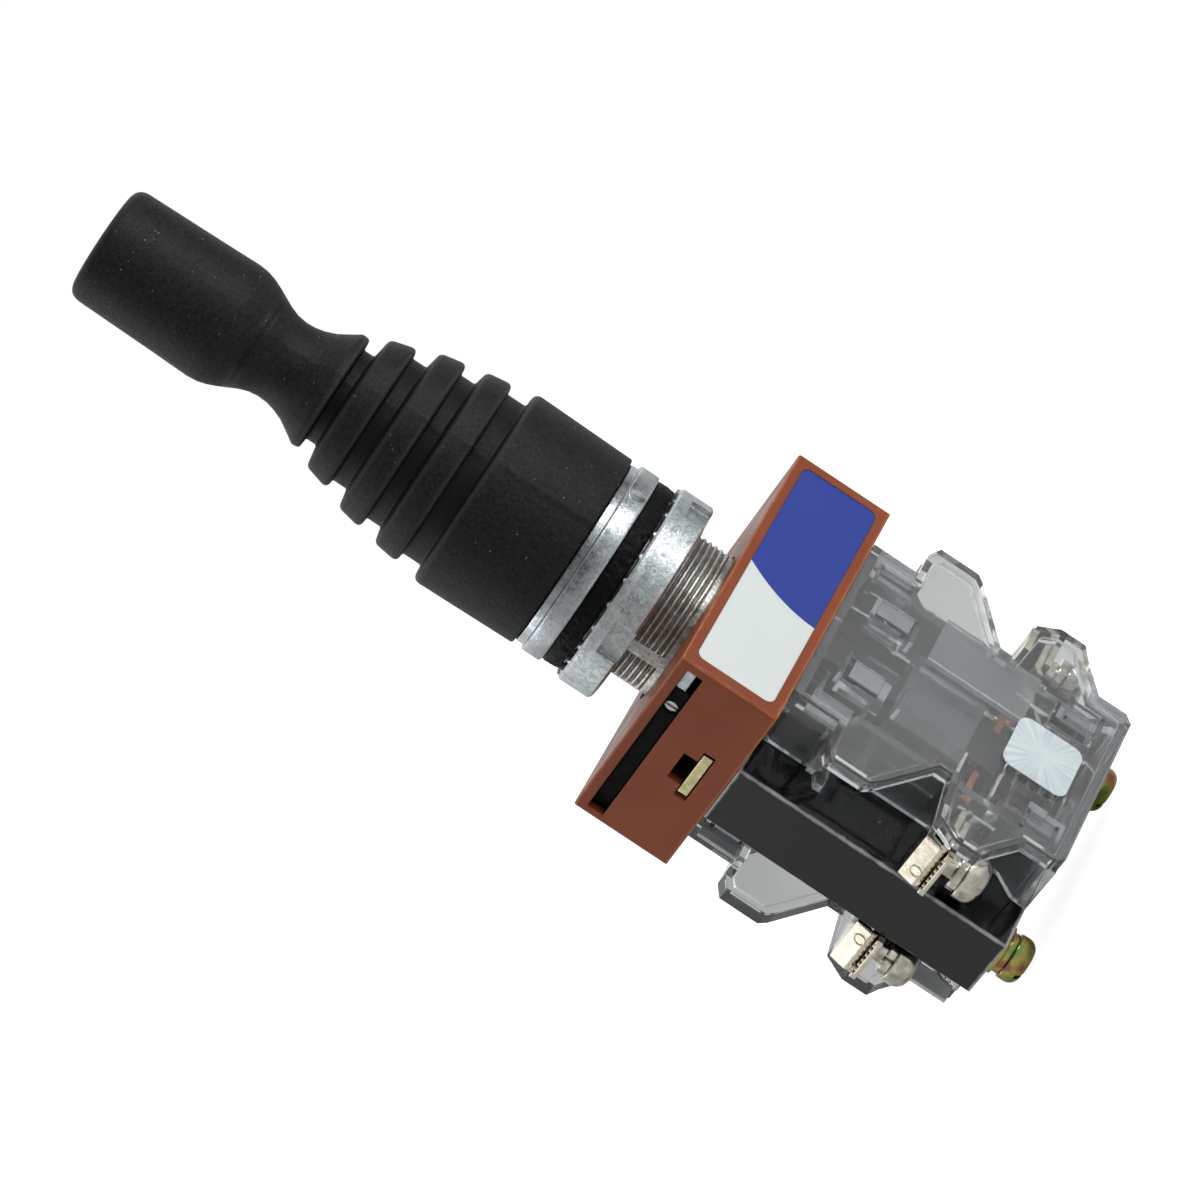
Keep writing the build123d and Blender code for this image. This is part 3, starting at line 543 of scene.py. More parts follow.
# Nitrile rubber, cut and torn: darker than the boot, with a few pale specks that paint glints of shiny torn
# spots.
GASKET_RUBBER = Rubber("nitrile_rubber", "020202", "060606", 0.55, specular=0.14, grain=0.8, grain_depth=0.15,
                       edge=0.02, speck=0.6, speck_share=0.16)
# Zinc alloy, die cast and tumbled: blue-grey, with a broken shine.
ZINC = CastZinc("die_cast_zinc", "BEC4C7", "A8AFB3", 0.33, 1.0, grain_depth=0.02, mottle=2.0, edge=0.25)
# Zinc alloy, die cast and left dull: paler and more even than the polished rim.
NUT_ZINC = CastZinc("dull_die_cast_zinc", "CDD3D4", "BAC2C5", 0.45, 1.0, grain_depth=0.035, mottle=1.3,
                    rough_swing=0.1, edge=0.25, stain="67727A", stain_size=0.8, sparkle=0.13)
# Zinc alloy, thread cut in the casting: grey and matt, with glints along the crests.
THREAD_ZINC = CastZinc("cut_zinc_thread", "D4D5D1", "B2B3AC", 0.42, 1.0, grain=0.25, grain_depth=0.02,
                       mottle=0.9, edge=0.05, stain="74756F", sparkle=0.16)
# ABS, injection moulded in terracotta brown: satin, with a fine even grain, lighter edges painted as wear and
# highlight, and painted shade in its pockets.
BROWN = MouldedBase("brown_moulded_abs", "87472D", "7F4028", 0.4, specular=0.22, grain_depth=0.006,
                    mottle=9.0, edge=0.3, wear_and_highlight="AE6845", wear_highlight_width=0.45, middle=(0.0, 0.0, -18.1),
                    half=(22.5, 16.07, 7.1))
# Polyester film, printed and varnished: smooth, with the least sheen.
LABEL = LabelFilm("polyester_label", "D3D9D7", "CFD6D4", 0.35, specular=0.3, grain=0.8, grain_depth=0.001,
                  mottle=15.0)
# Phenolic, moulded and polished by its mould: black glass with a little dust and a pale painted highlight
# along its edges.
PHENOLIC = Rubber("black_phenolic", "070707", "0B0B0C", 0.1, grain=1.5, grain_depth=0.002, mottle=8.0,
                  rough_swing=0.03, speck=2.0, speck_share=0.1, edge=0.22, wear_and_highlight="B6B6B8", wear_highlight_width=0.55,
                  middle=(0.0, 0.0, -45.55), half=(22.5, 5.25, 20.25))
# Polycarbonate, injection moulded: clear, with light caught in every edge.
CLEAR = ClearPlastic("clear_polycarbonate", "F4F6F8", "ECF0F2", 0.05, grain=2.2, grain_depth=0.03,
                     mottle=12.0, rough_swing=0.03, edge=0.2)
# Polycarbonate of the trays inside: thicker and a little milkier than the covers.
MILKY_CLEAR = ClearPlastic("milky_polycarbonate", "EEF1F4", "E4E9ED", 0.07, grain=2.2, grain_depth=0.03,
                           mottle=10.0, rough_swing=0.03, edge=0.2, clarity=0.925)
# Polycarbonate against a spark-eroded mould wall: frosted, so it glows pale.
FROSTED = ClearPlastic("frosted_polycarbonate", "F2F4F6", "DDE2E6", 0.22, grain=1.3, grain_depth=0.008,
                       mottle=2.5, rough_swing=0.05, edge=0.1, clarity=0.38)
# Polycarbonate wall seen through another: a pale sheet in the glass.
PALE_CLEAR = ClearPlastic("pale_polycarbonate", "F2F4F6", "E6EAED", 0.1, grain=2.0, grain_depth=0.01,
                          mottle=6.0, rough_swing=0.04, edge=0.1, clarity=0.8)
# Polycarbonate where a wall is seen along its length: near white, a painted highlight for the light piped in
# it.
BRIGHT_EDGE = ClearPlastic("edge_lit_polycarbonate", "FAFAFA", "F0F0EE", 0.3, grain=1.3, grain_depth=0.008,
                           mottle=1.0, rough_swing=0.05, edge=0.05, clarity=0.12)
# Brass, pressed and nickel plated: warm and bright with fine scuffs.
NICKEL = Finish("nickel_plated_brass", "E8E2D2", "CBC4B0", 0.2, 1.0, grain=0.25, grain_depth=0.008,
                mottle=1.4, edge=0.3)
# Steel, cold headed and nickel plated: a harder, darker shine than the strips.
SCREW_NICKEL = Finish("nickel_plated_steel", "E4E0D6", "A39E92", 0.1, 1.0, grain=1.4, grain_depth=0.06,
                      mottle=1.6, rough_swing=0.04, edge=0.3)
# Steel, zinc plated with a yellow passivation: a thin film whose colour drifts.
PASSIVATED = Passivated("yellow_passivated_steel", "B9AE5E", "7E9A5C", 0.14, 1.0, mottle=2.2, grain=0.5,
                        grain_depth=0.003, rough_swing=0.05, edge=0.3)
# Steel sheet, pressed and lightly passivated: pale straw.
LATCH_STEEL = Finish("pale_passivated_steel", "E6E0B4", "BDB684", 0.3, 1.0, mottle=1.6, edge=0.2)
# Copper, pressed and bare: a warm glint.
COPPER = Finish("pressed_copper", "E39B76", "C8805C", 0.25, 1.0, mottle=2.0, edge=0.1)
# Steel, turned and wound: plain grey shine.
STEEL = Finish("turned_steel", "DADBDB", "C0C2C3", 0.25, 1.0, grain=0.2, mottle=2.5)
# Nylon, moulded in black: satin.
NYLON = Finish("black_nylon", "0C0C0D", "121213", 0.5, specular=0.3, mottle=5.0)
# Nylon, moulded in black, with the slot's shade painted in: a darker copy of the black nylon that takes
# hardly any light.
SLOT_NYLON = Finish("shaded_black_nylon", "030202", "070403", 0.6, specular=0.1, mottle=3.0)
# Acetal, moulded in dark grey: waxy.
ACETAL = Finish("grey_acetal", "3B3F43", "34383C", 0.4, grain=0.4, mottle=5.0)
# Polyester foil, metallised and embossed with rays: silver with a cold tint.
FOIL = FoilSeal("metallised_foil", "EAF3F5", "DDE9ED", 0.36, 0.5, mottle=3.0)

NODE_FINISH = {
    "head_body": ZINC, "panel_gasket": GASKET_RUBBER, "locknut": NUT_ZINC, "boot_collar": BOOT_RUBBER,
    "boot_bellows": BOOT_RUBBER, "grip": BOOT_RUBBER, "lever_rod": STEEL, "rocker": NYLON, "pivot_pin": STEEL,
    "base_housing": BROWN, "base_label": LABEL, "latch_plate": LATCH_STEEL, "latch_spring": STEEL,
    "clamp_bar": NUT_ZINC, "clamp_insert": SLOT_NYLON, "clamp_screw": STEEL, "contact_carrier": PHENOLIC,
    "carrier_screws": PASSIVATED, "carrier_washers": PASSIVATED, "carrier_spring_washers": PASSIVATED,
    "seal_sticker": FOIL,
}
BLOCK_FINISH = {
    "cover": CLEAR, "contact_housing": MILKY_CLEAR, "pushrod": NYLON, "plunger": ACETAL, "bridge": COPPER,
    "contact_spring": STEEL, "return_spring": STEEL, "strip_right": NICKEL, "strip_left": NICKEL,
    "saddles": NICKEL, "lock_washers": SCREW_NICKEL, "terminal_screws": SCREW_NICKEL,
}
# The share of a profile's side that the arcs at its two ends may take up.
ARC_ROOM = 0.98


def rounded(corners: list[Point], steps: int = 6) -> list[Pair]:
    """Rounds the corners of an open profile.

    Args:
        corners: Points as (radius, height, corner radius), all in millimetres.
        steps: Points along each rounded corner.

    Returns:
        The profile's points with an arc in place of each corner that has a radius.
    """
    profile: list[Pair] = []
    for i, (r, z, fillet) in enumerate(corners):
        here = Vector((r, z))
        if not fillet or i in (0, len(corners) - 1):
            profile.append((r, z))
            continue
        back = Vector(corners[i - 1][:2]) - here
        ahead = Vector(corners[i + 1][:2]) - here
        half = back.angle(ahead) / 2
        sides = (back, -1), (ahead, 1)
        room = [side.length * fillet / (fillet + corners[i + k][2]) * ARC_ROOM for side, k in sides]
        cut = min(fillet / math.tan(half), *room)
        start, end = here + back.normalized() * cut, here + ahead.normalized() * cut
        for k in range(steps + 1):
            t = k / steps
            point = start.lerp(here, t).lerp(here.lerp(end, t), t)
            profile.append((point.x, point.y))
    return profile


def bridge(mesh: bmesh.types.BMesh, low: list[bmesh.types.BMVert], high: list[bmesh.types.BMVert]) -> None:
    """Joins two rings of as many vertices by a band of faces.

    Args:
        mesh: The mesh that holds the rings.
        low: The one ring.
        high: The other ring. A ring that is one vertex over and over makes triangles.
    """
    for k, here in enumerate(low):
        n = (k + 1) % len(low)
        corners = list(dict.fromkeys((here, low[n], high[n], high[k])))
        if len(corners) > 2:
            mesh.faces.new(corners)


def lathe(name: str, profile: list[Pair], segments: int = 160) -> Piece:
    """Turns a closed profile about Z.

    Args:
        name: Name of the new object.
        profile: (radius, height) points in millimetres, from the axis or back to the start.
        segments: Steps round the axis.

    Returns:
        The object, with its place in its mesh.
    """
    mesh = bmesh.new()
    rows: list[list[bmesh.types.BMVert]] = []
    on_axis = 1e-6
    for r, z in profile:
        if r < on_axis:
            rows.append([mesh.verts.new((0, 0, z * MM))] * segments)
            continue
        ring = []
        for k in range(segments):
            turn = 2 * math.pi * k / segments
            ring.append(mesh.verts.new((r * MM * math.cos(turn), r * MM * math.sin(turn), z * MM)))
        rows.append(ring)
    for low, high in zip(rows, rows[1:]):
        bridge(mesh, low, high)
    if profile[0][0] > on_axis or profile[-1][0] > on_axis:
        bridge(mesh, rows[-1], rows[0])
    bmesh.ops.recalc_face_normals(mesh, faces=mesh.faces)
    return to_object(name, mesh)


def to_object(name: str, mesh: bmesh.types.BMesh) -> Piece:
    """Puts a mesh in the scene as a smooth object at the origin.

    Args:
        name: Name of the new object.
        mesh: The mesh, which is used up.

    Returns:
        The object.
    """
    data = bpy.data.meshes.new(name)
    mesh.to_mesh(data)
    mesh.free()
    for face in data.polygons:
        face.use_smooth = True
    piece = bpy.data.objects.new(name, data)
    bpy.context.scene.collection.objects.link(piece)
    return piece


def dress(piece: Piece, finish: Finish) -> None:
    """Gives every face of a piece one finish."""
    piece.data.materials.clear()
    piece.data.materials.append(finish.material())


def report(piece: Piece) -> None:
    """Logs a finished piece."""
    log.info("%s: %d faces", piece.name, len(piece.data.polygons))


def new_tree(name: str, kinds: dict[str, tuple[str, ...]]) -> tuple[Tree, bpy.types.bpy_prop_collection]:
    """Starts a Geometry Nodes tree with named inputs.

    Args:
        name: Name of the tree.
        kinds: Names of its inputs by the kind of socket.

    Returns:
        The tree and its inputs, with one for the finish.
    """
    tree = bpy.data.node_groups.new(name, "GeometryNodeTree")
    for kind, titles in (kinds | {"Material": ("Finish",)}).items():
        for title in titles:
            tree.interface.new_socket(title, in_out="INPUT", socket_type=f"NodeSocket{kind}")
    tree.interface.new_socket("Geometry", in_out="OUTPUT", socket_type="NodeSocketGeometry")
    return tree, add(tree, "NodeGroupInput").outputs


def end_tree(tree: Tree, shape: Node, finish: Socket) -> None:
    """Ends a tree in Realize Instances and Set Material.

    Args:
        tree: The tree.
        shape: The node that gives the finished shape.
        finish: The tree's input with the material.
    """
    real = add(tree, "GeometryNodeRealizeInstances", {0: shape})
    dressed = add(tree, "GeometryNodeSetMaterial", {"Geometry": real, "Material": finish})
    add(tree, "NodeGroupOutput", {0: dressed})


def grown(tree: Tree, values: dict[str, object], finish: Finish, points: list[Point] | None = None) -> Piece:
    """Grows a mesh from a Geometry Nodes tree and keeps it as a plain mesh.

    Args:
        tree: The tree to run, named as the piece.
        values: The tree's inputs by name.
        finish: The piece's finish.
        points: Places in millimetres that the tree starts from.

    Returns:
        An object with the finished mesh and no modifier.
    """
    name = tree.name
    seed = bpy.data.objects.new(name + "_seed", bpy.data.meshes.new(name + "_seed"))
    seed.data.from_pydata([tuple(c * MM for c in point) for point in points or []], [], [])
    bpy.context.scene.collection.objects.link(seed)
    modifier = seed.modifiers.new("grow", "NODES")
    modifier.node_group = tree
    given = values | {"Finish": finish.material()}
    for item in tree.interface.items_tree:
        if item.item_type == "SOCKET" and item.in_out == "INPUT" and item.name in given:
            modifier[item.identifier] = given[item.name]
    ready = seed.evaluated_get(bpy.context.evaluated_depsgraph_get())
    data = bpy.data.meshes.new_from_object(ready)
    seed.modifiers.clear()
    bpy.data.objects.remove(seed)
    data.name = name
    piece = bpy.data.objects.new(name, data)
    bpy.context.scene.collection.objects.link(piece)
    return piece


@dataclass
class Springs:
    """Coil springs of the CAD model, remade as plain wire."""

    pressed: tuple[tuple[str, Body, Vector], ...] = (
        ("front_return_spring", Body.FRONT_PLUNGER, Vector((0, 0, 1))),
        ("back_return_spring", Body.BACK_PLUNGER, Vector((0, 0, 1))),
        ("latch_spring", Body.LATCH, Vector((-1, 0, 0))),
    )
    merge: float = 0.001

    def build(self) -> None:
        """Copies each spring's wire and merges its loose triangles."""
        for name, mover, toward in self.pressed:
            mesh = bmesh.new()
            mesh.from_mesh(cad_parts[name].data)
            bmesh.ops.remove_doubles(mesh, verts=mesh.verts, dist=self.merge * MM)
            wire = to_object(f"{name}_wire", mesh)
            dress(wire, STEEL)
            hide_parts(name)
            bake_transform(wire)
            report(wire)


@dataclass
class Boot:
    """Rubber boot: collar, bellows and grip in one moulding, over the CAD solids' own sizes in mm."""

    collar_z: Pair = (6.8, 22.0)
    collar_r: Pair = (14.1, 14.4)
    collar_bore_r: float = 12.75
    ring_z: tuple[float, ...] = (25.0, 31.35, 37.7)
    ring_r: tuple[float, ...] = (13.65, 12.6, 10.75)
    ring_drop: tuple[float, ...] = (0.5, 0.7, 1.0)
    groove_r: tuple[float, ...] = (12.25, 11.0, 9.35, 6.8)
    ring_w: float = 3.75
    ring_slant: float = 0.4
    flare_z: float = 43.5
    waist: tuple[Pair, ...] = (
        (8.42, 66.0), (8.55, 60.6), (8.42, 59.2), (8.05, 57.9), (7.5, 56.6), (6.9, 55.4), (6.3, 54.2),
        (5.85, 52.9), (5.67, 51.6), (5.74, 50.2), (6.05, 48.9), (6.6, 47.5), (7.2, 46.5), (7.8, 45.55))
    waist_fillet: float = 1.5
    tip_z: float = 79.2
    tip_r: float = 8.2
    tip_fillet: float = 2.0
    crown: float = 0.3
    rod_r: float = 3.1
    rod_end: float = 4.5
    seam_turn: float = -120.0
    seam_heights: tuple[Pair, ...] = (
        (6.8, 0.01), (21.0, 0.015), (25.0, 0.05), (42.0, 0.05), (50.0, 0.04), (56.0, 0.03), (60.0, 0.008))
    seam_width: float = 0.4
    inside_r: float = 5.5
    nub_z: tuple[float, ...] = (31.45, 25.05, 7.3)
    nub_size: float = 0.4
    nub_height: float = 0.35
    # Groove depths where the painted shade begins and grows full, and the reach of the painted edge
    # highlight.
    shaded_from: float = 0.5
    shaded_over: float = 0.9
    crest_highlight_reach: float = 0.35

    def outer(self) -> list[Pair]:
        """Outer profile from the tip down to the collar's rear edge.

        Returns:
            The rounded profile. Each corner's third number is its fillet.
        """
        corners = [(0.0, self.tip_z + self.crown, 0.0), (self.tip_r, self.tip_z - 0.05, self.tip_fillet)]
        corners += [(r, z, self.waist_fillet) for r, z in self.waist]
        corners += [(8.45, 44.6, 0.9), (8.3, self.flare_z, 0.6), (self.groove_r[3], self.flare_z - 0.1, 0.3)]
        for i in (2, 1, 0):
            z, r = self.ring_z[i], self.ring_r[i]
            corners += [
                (self.groove_r[i + 1], z + self.ring_w + self.ring_slant, 0.35),
                (r - self.ring_drop[i], z + self.ring_w - 0.1, 1.0),
                (r, z, 0.85),
                (self.groove_r[i], z - 0.1, 0.3),
            ]
        z0, z1 = self.collar_z
        corners += [(self.groove_r[0], z1 + 0.1, 0.45), (self.collar_r[1], z1, 1.2)]
        corners += [(self.collar_r[0], z0, 0.35), (self.collar_bore_r, z0, 0.0)]
        return rounded(corners)

    def inner(self) -> list[Pair]:
        """Inner profile from the collar back up to the end of the rod's hole.

        Returns:
            The profile, which ends on the axis.
        """
        z1 = self.collar_z[1]
        end = self.tip_z - self.rod_end
        return [
            (self.collar_bore_r, z1 - 1.8), (10.8, z1 - 1.6), (10.8, z1 + 2.5), (9.6, 29.0), (7.9, 35.4),
            (5.4, 42.0), (self.rod_r, 45.6), (self.rod_r, end), (0.0, end),
        ]

    def seam_rise(self, z: float) -> float:
        """Looks up how high the mould seam stands.

        Args:
            z: Level in millimetres.

        Returns:
            The seam's height in millimetres.
        """
        steps = self.seam_heights
        for (z0, h0), (z1, h1) in zip(steps, steps[1:]):
            if z < z1:
                return h0 + (h1 - h0) * max(0.0, z - z0) / (z1 - z0)
        return steps[-1][1]

    def shade(self, boot: Piece) -> None:
        """Stores painted shade by how deep each vertex lies in a groove, and a painted highlight by how near
        it is to a ring's edge.

        Args:
            boot: The boot with its seam.
        """
        crests = list(zip(self.ring_z, self.ring_r, self.ring_drop))
        edges = [(r - 0.25, z + 0.25) for z, r, _ in crests]
        edges += [(r - drop - 0.3, z + self.ring_w - 0.4) for z, r, drop in crests]
        edges += [(8.35, self.flare_z + 0.4), (self.collar_r[1] - 0.35, self.collar_z[1] - 0.35)]
        line = [(self.collar_z[1], self.collar_r[1])]
        line += [(z + 1.9, r) for z, r, _ in crests] + [(self.flare_z, 8.4)]
        # Painted shade in the grooves and painted highlight at the ring edges, kept for the material.
        groove_shade = boot.data.attributes.new("groove_shade", "FLOAT", "POINT").data
        crest_highlight = boot.data.attributes.new("crest_highlight", "FLOAT", "POINT").data
        for vert in boot.data.vertices:
            r, z = math.hypot(vert.co.x, vert.co.y) / MM, vert.co.z / MM
            for (z0, r0), (z1, r1) in zip(line, line[1:]):
                if z0 <= z <= z1:
                    full = r0 + (r1 - r0) * (z - z0) / (z1 - z0)
                    depth = (full - r - self.shaded_from) / self.shaded_over
                    groove_shade[vert.index].value = min(1.0, max(0.0, depth))
            near = min(math.hypot(r - er, z - ez) for er, ez in edges)
            crest_highlight[vert.index].value = math.exp(-((near / self.crest_highlight_reach) ** 2))

    def build(self) -> None:
        """Makes the boot and raises its mould seam and nubs."""
        boot = lathe("rubber_boot", self.outer() + self.inner(), 256)
        turn = math.radians(self.seam_turn)
        for vert in boot.data.vertices:
            r = math.hypot(vert.co.x, vert.co.y)
            if r < self.inside_r * MM:
                continue
            off = (math.atan2(vert.co.y, vert.co.x) - turn + math.pi) % (2 * math.pi) - math.pi
            rise = 0.0
            for side in (off, abs(off) - math.pi):
                rise += self.seam_rise(vert.co.z / MM) * math.exp(-((side * r / (self.seam_width * MM)) ** 2))
            for z in self.nub_z:
                far = math.hypot(off * r / MM, vert.co.z / MM - z) / self.nub_size
                rise += self.nub_height * math.exp(-far * far)
            vert.co.x *= 1 + rise * MM / r
            vert.co.y *= 1 + rise * MM / r
        self.shade(boot)
        dress(boot, BOOT_RUBBER)
        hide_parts("boot_collar", "boot_bellows", "grip")
        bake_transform(boot)
        report(boot)


@dataclass
class Head:
    """Cast neck, bezel and turret with the neck's thread, in mm."""

    neck_r: float = 10.9
    neck_end_r: float = 10.6
    neck_z: Pair = (-23.0, 2.6)
    bore_r: float = 8.6
    rim_r: float = 14.1
    lip_r: float = 13.5
    lip_z: float = 6.7
    turret_r: Pair = (10.4, 12.6)
    turret_z: Pair = (4.0, 20.2)
    root_r: float = 10.5
    thread_z: Pair = (-10.2, -4.6)
    undercut: float = 4.4
    pitch: float = 0.86
    ridge: float = 0.41
    strip_turn: float = -170.5
    strip_half: float = 6.5
    mark_turn: float = -90.0
    mark_z: float = 4.0
    mark_r: float = 1.2
    mark_steps: tuple[Pair, ...] = ((0.0, 0.03), (0.85, 0.03), (0.93, 0.08), (1.02, 0.06), (1.1, -0.1))
    mark_points: int = 40
    flat_turn: float = 135.0
    flat_reach: float = 10.2

    def build(self) -> None:
        """Makes the casting and its thread."""
        z0, z1 = self.neck_z
        t0, t1 = self.thread_z
        outline = rounded([
            (self.bore_r, z0, 0.0), (self.neck_end_r, z0, 0.3), (self.neck_end_r, t0 - 0.2, 0.1),
            (self.root_r, t0 - 0.1, 0.1), (self.root_r, t1 + self.undercut, 0.1),
            (self.neck_r, t1 + self.undercut + 0.1, 0.1), (self.neck_r, z1, 0.1), (self.rim_r, z1, 0.3),
            (self.rim_r, 5.5, 0.4), (self.lip_r, 5.55, 0.1), (self.lip_r, self.lip_z, 0.3),
            (self.turret_r[1], self.lip_z, 0.1), (self.turret_r[1], self.turret_z[1], 0.3),
            (self.turret_r[0], self.turret_z[1], 0.2), (self.turret_r[0], self.turret_z[0], 0.0),
            (self.bore_r, self.turret_z[0], 0.0),
        ], 4)
        head = lathe("zinc_head", outline, 192)
        turn = math.radians(self.flat_turn)
        flat = Vector((math.cos(turn), math.sin(turn), 0))
        for vert in head.data.vertices:
            over = vert.co.dot(flat) - self.flat_reach * MM
            if over > 0 and vert.co.z < -0.1 * MM:
                vert.co -= flat * over
        dress(head, ZINC)
        head.data.materials.append(THREAD_ZINC.material())
        for face in head.data.polygons:
            face.material_index = int(face.center.z < -0.2 * MM)
        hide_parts("head_body")
        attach(head, Body.HOUSING.value)
        report(head)
        self.build_thread(flat)
        self.build_mark()

    def build_mark(self) -> None:
        """Raises the round mark of an ejector pin on the rim."""
        mesh = bmesh.new()
        rows = []
        for reach, rise in self.mark_steps:
            ring = []
            for k in range(self.mark_points):
                turn = 2 * math.pi * k / self.mark_points
                across, along = (reach * self.mark_r * f(turn) for f in (math.cos, math.sin))
                place = math.radians(self.mark_turn) + across / self.rim_r
                r, z = (self.rim_r + rise) * MM, (self.mark_z + along) * MM
                ring.append(mesh.verts.new((r * math.cos(place), r * math.sin(place), z)))
            rows.append(ring)
        for low, high in zip(rows, rows[1:]):
            bridge(mesh, low, high)
        bmesh.ops.remove_doubles(mesh, verts=mesh.verts, dist=1e-7)
        bmesh.ops.holes_fill(mesh, edges=mesh.edges, sides=0)
        bmesh.ops.recalc_face_normals(mesh, faces=mesh.faces)
        mark = to_object("rim_mark", mesh)
        dress(mark, ZINC)
        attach(mark, Body.HOUSING.value)
        report(mark)

    def pulled_in(self, tree: Tree, shape: Node, reach: Socket, limit: Socket, way: Source,
                  where: Source | float = 1.0) -> Node:
        """Pulls what stands out past a limit back to it.

        Args:
            tree: The tree.
            shape: The node that gives the shape.
            reach: How far each point stands out.
            limit: How far it may stand out.
            way: Unit vector that points out.
            where: One where it applies, and zero elsewhere.

        Returns:
            The node that gives the trimmed shape.
        """
        room = add(tree, "Math", {0: limit, 1: reach}, operation="SUBTRACT")
        inward = add(tree, "Math", {0: room, 1: 0.0}, operation="MINIMUM")
        chosen = add(tree, "Math", {0: inward, 1: where}, operation="MULTIPLY")
        shift = add(tree, "VectorMath", {0: way, "Scale": chosen}, operation="SCALE")
        return add(tree, "GeometryNodeSetPosition", {"Geometry": shape, "Offset": shift})

    def thread_tree(self) -> Tree:
        """Builds the tree that winds a pointed ridge on a helix and cuts it back at the flat and the strip.

        Returns:
            The tree, with its sizes as named inputs.
        """
        tree, given = new_tree("neck_thread", {
            "Vector": ("Flat direction", "Strip direction"),
            "Float": ("Radius", "Pitch", "Turns", "Start", "Depth", "Flat reach", "Strip reach",
                      "Strip edge"),
        })
        height = add(tree, "Math", {0: given["Pitch"], 1: given["Turns"]}, operation="MULTIPLY")
        helix = add(tree, "GeometryNodeCurveSpiral", {
            "Resolution": 96, "Rotations": given["Turns"], "Start Radius": given["Radius"],
            "End Radius": given["Radius"], "Height": height,
        })
        level = add(tree, "GeometryNodeSetCurveNormal", {"Curve": helix}, mode="Z_UP")
        ridge = add(tree, "GeometryNodeCurvePrimitiveCircle", {"Resolution": 4, "Radius": given["Depth"]})
        sweep = add(tree, "GeometryNodeCurveToMesh", {"Curve": level, "Profile Curve": ridge,
                                                      "Fill Caps": True})
        lift = add(tree, "CombineXYZ", {"Z": given["Start"]})
        placed = add(tree, "GeometryNodeTransform", {"Geometry": sweep, "Translation": lift})
        spot = add(tree, "GeometryNodeInputPosition")
        flat = given["Flat direction"]
        reach = add(tree, "VectorMath", {0: spot, 1: flat}, operation="DOT_PRODUCT").outputs["Value"]
        trimmed = self.pulled_in(tree, placed, reach, given["Flat reach"], flat)
        across = add(tree, "VectorMath", {0: spot, 1: (1, 1, 0)}, operation="MULTIPLY")
        out = add(tree, "VectorMath", {0: across}, operation="NORMALIZE")
        near = add(tree, "VectorMath", {0: out, 1: given["Strip direction"]}, operation="DOT_PRODUCT")
        inside = add(tree, "Math", {0: near.outputs["Value"], 1: given["Strip edge"]},
                     operation="GREATER_THAN")
        length = add(tree, "VectorMath", {0: across}, operation="LENGTH").outputs["Value"]
        wiped = self.pulled_in(tree, trimmed, length, given["Strip reach"], out, inside)
        end_tree(tree, wiped, given["Finish"])
        return tree

    def build_thread(self, flat: Vector) -> None:
        """Winds the thread on the neck.

        Args:
            flat: Unit vector that points out of the neck's flat.
        """
        strip = math.radians(self.strip_turn)
        thread = grown(self.thread_tree(), {
            "Radius": (self.root_r + 0.02) * MM, "Pitch": self.pitch * MM, "Start": self.thread_z[0] * MM,
            "Turns": (self.thread_z[1] - self.thread_z[0]) / self.pitch, "Depth": self.ridge * MM,
            "Flat reach": (self.flat_reach + 0.01) * MM, "Flat direction": flat,
            "Strip reach": self.root_r * MM, "Strip edge": math.cos(math.radians(self.strip_half)),
            "Strip direction": (math.cos(strip), math.sin(strip), 0.0),
        }, THREAD_ZINC)
        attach(thread, Body.HOUSING.value)
        report(thread)


@dataclass
class Gasket:
    """Torn rubber ring between the rim and the nut, in mm."""

    bore: float = 10.96
    shoulder_r: float = 12.0
    outer_r: float = 13.75
    bulge: float = 0.25
    z: Pair = (0.02, 2.58)
    rows: int = 12
    tear: float = 0.55
    tear_size: float = 0.9
    nick_size: float = 0.35
    torn_from: float = 12.5
    even_share: float = 0.45

    def build(self) -> None:
        """Makes the ring and tears its outer edge, most on the nut's side."""
        z0, z1 = self.z
        steps = (k / self.rows for k in range(self.rows + 1))
        edge = [(self.outer_r - self.bulge * abs(t - 0.6), z0 + (z1 - z0) * t) for t in steps]
        inside = [(self.bore, z0), (self.shoulder_r, z0)]
        ring = lathe("torn_gasket", inside + edge + [(self.shoulder_r, z1), (self.bore, z1)], 320)
        for vert in ring.data.vertices:
            r = math.hypot(vert.co.x, vert.co.y) / MM
            if r < self.torn_from:
                continue
            tears = noise.noise(vert.co / (self.tear_size * MM))
            rough = tears + 0.5 * noise.noise(vert.co / (self.nick_size * MM))
            low = 1 - (vert.co.z / MM - z0) / (z1 - z0)
            cut = self.tear * (self.even_share + (1 - self.even_share) * low) * abs(rough)
            vert.co.x *= 1 - cut / r
            vert.co.y *= 1 - cut / r
        dress(ring, GASKET_RUBBER)
        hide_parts("panel_gasket")
        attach(ring, Body.HOUSING.value)
        report(ring)


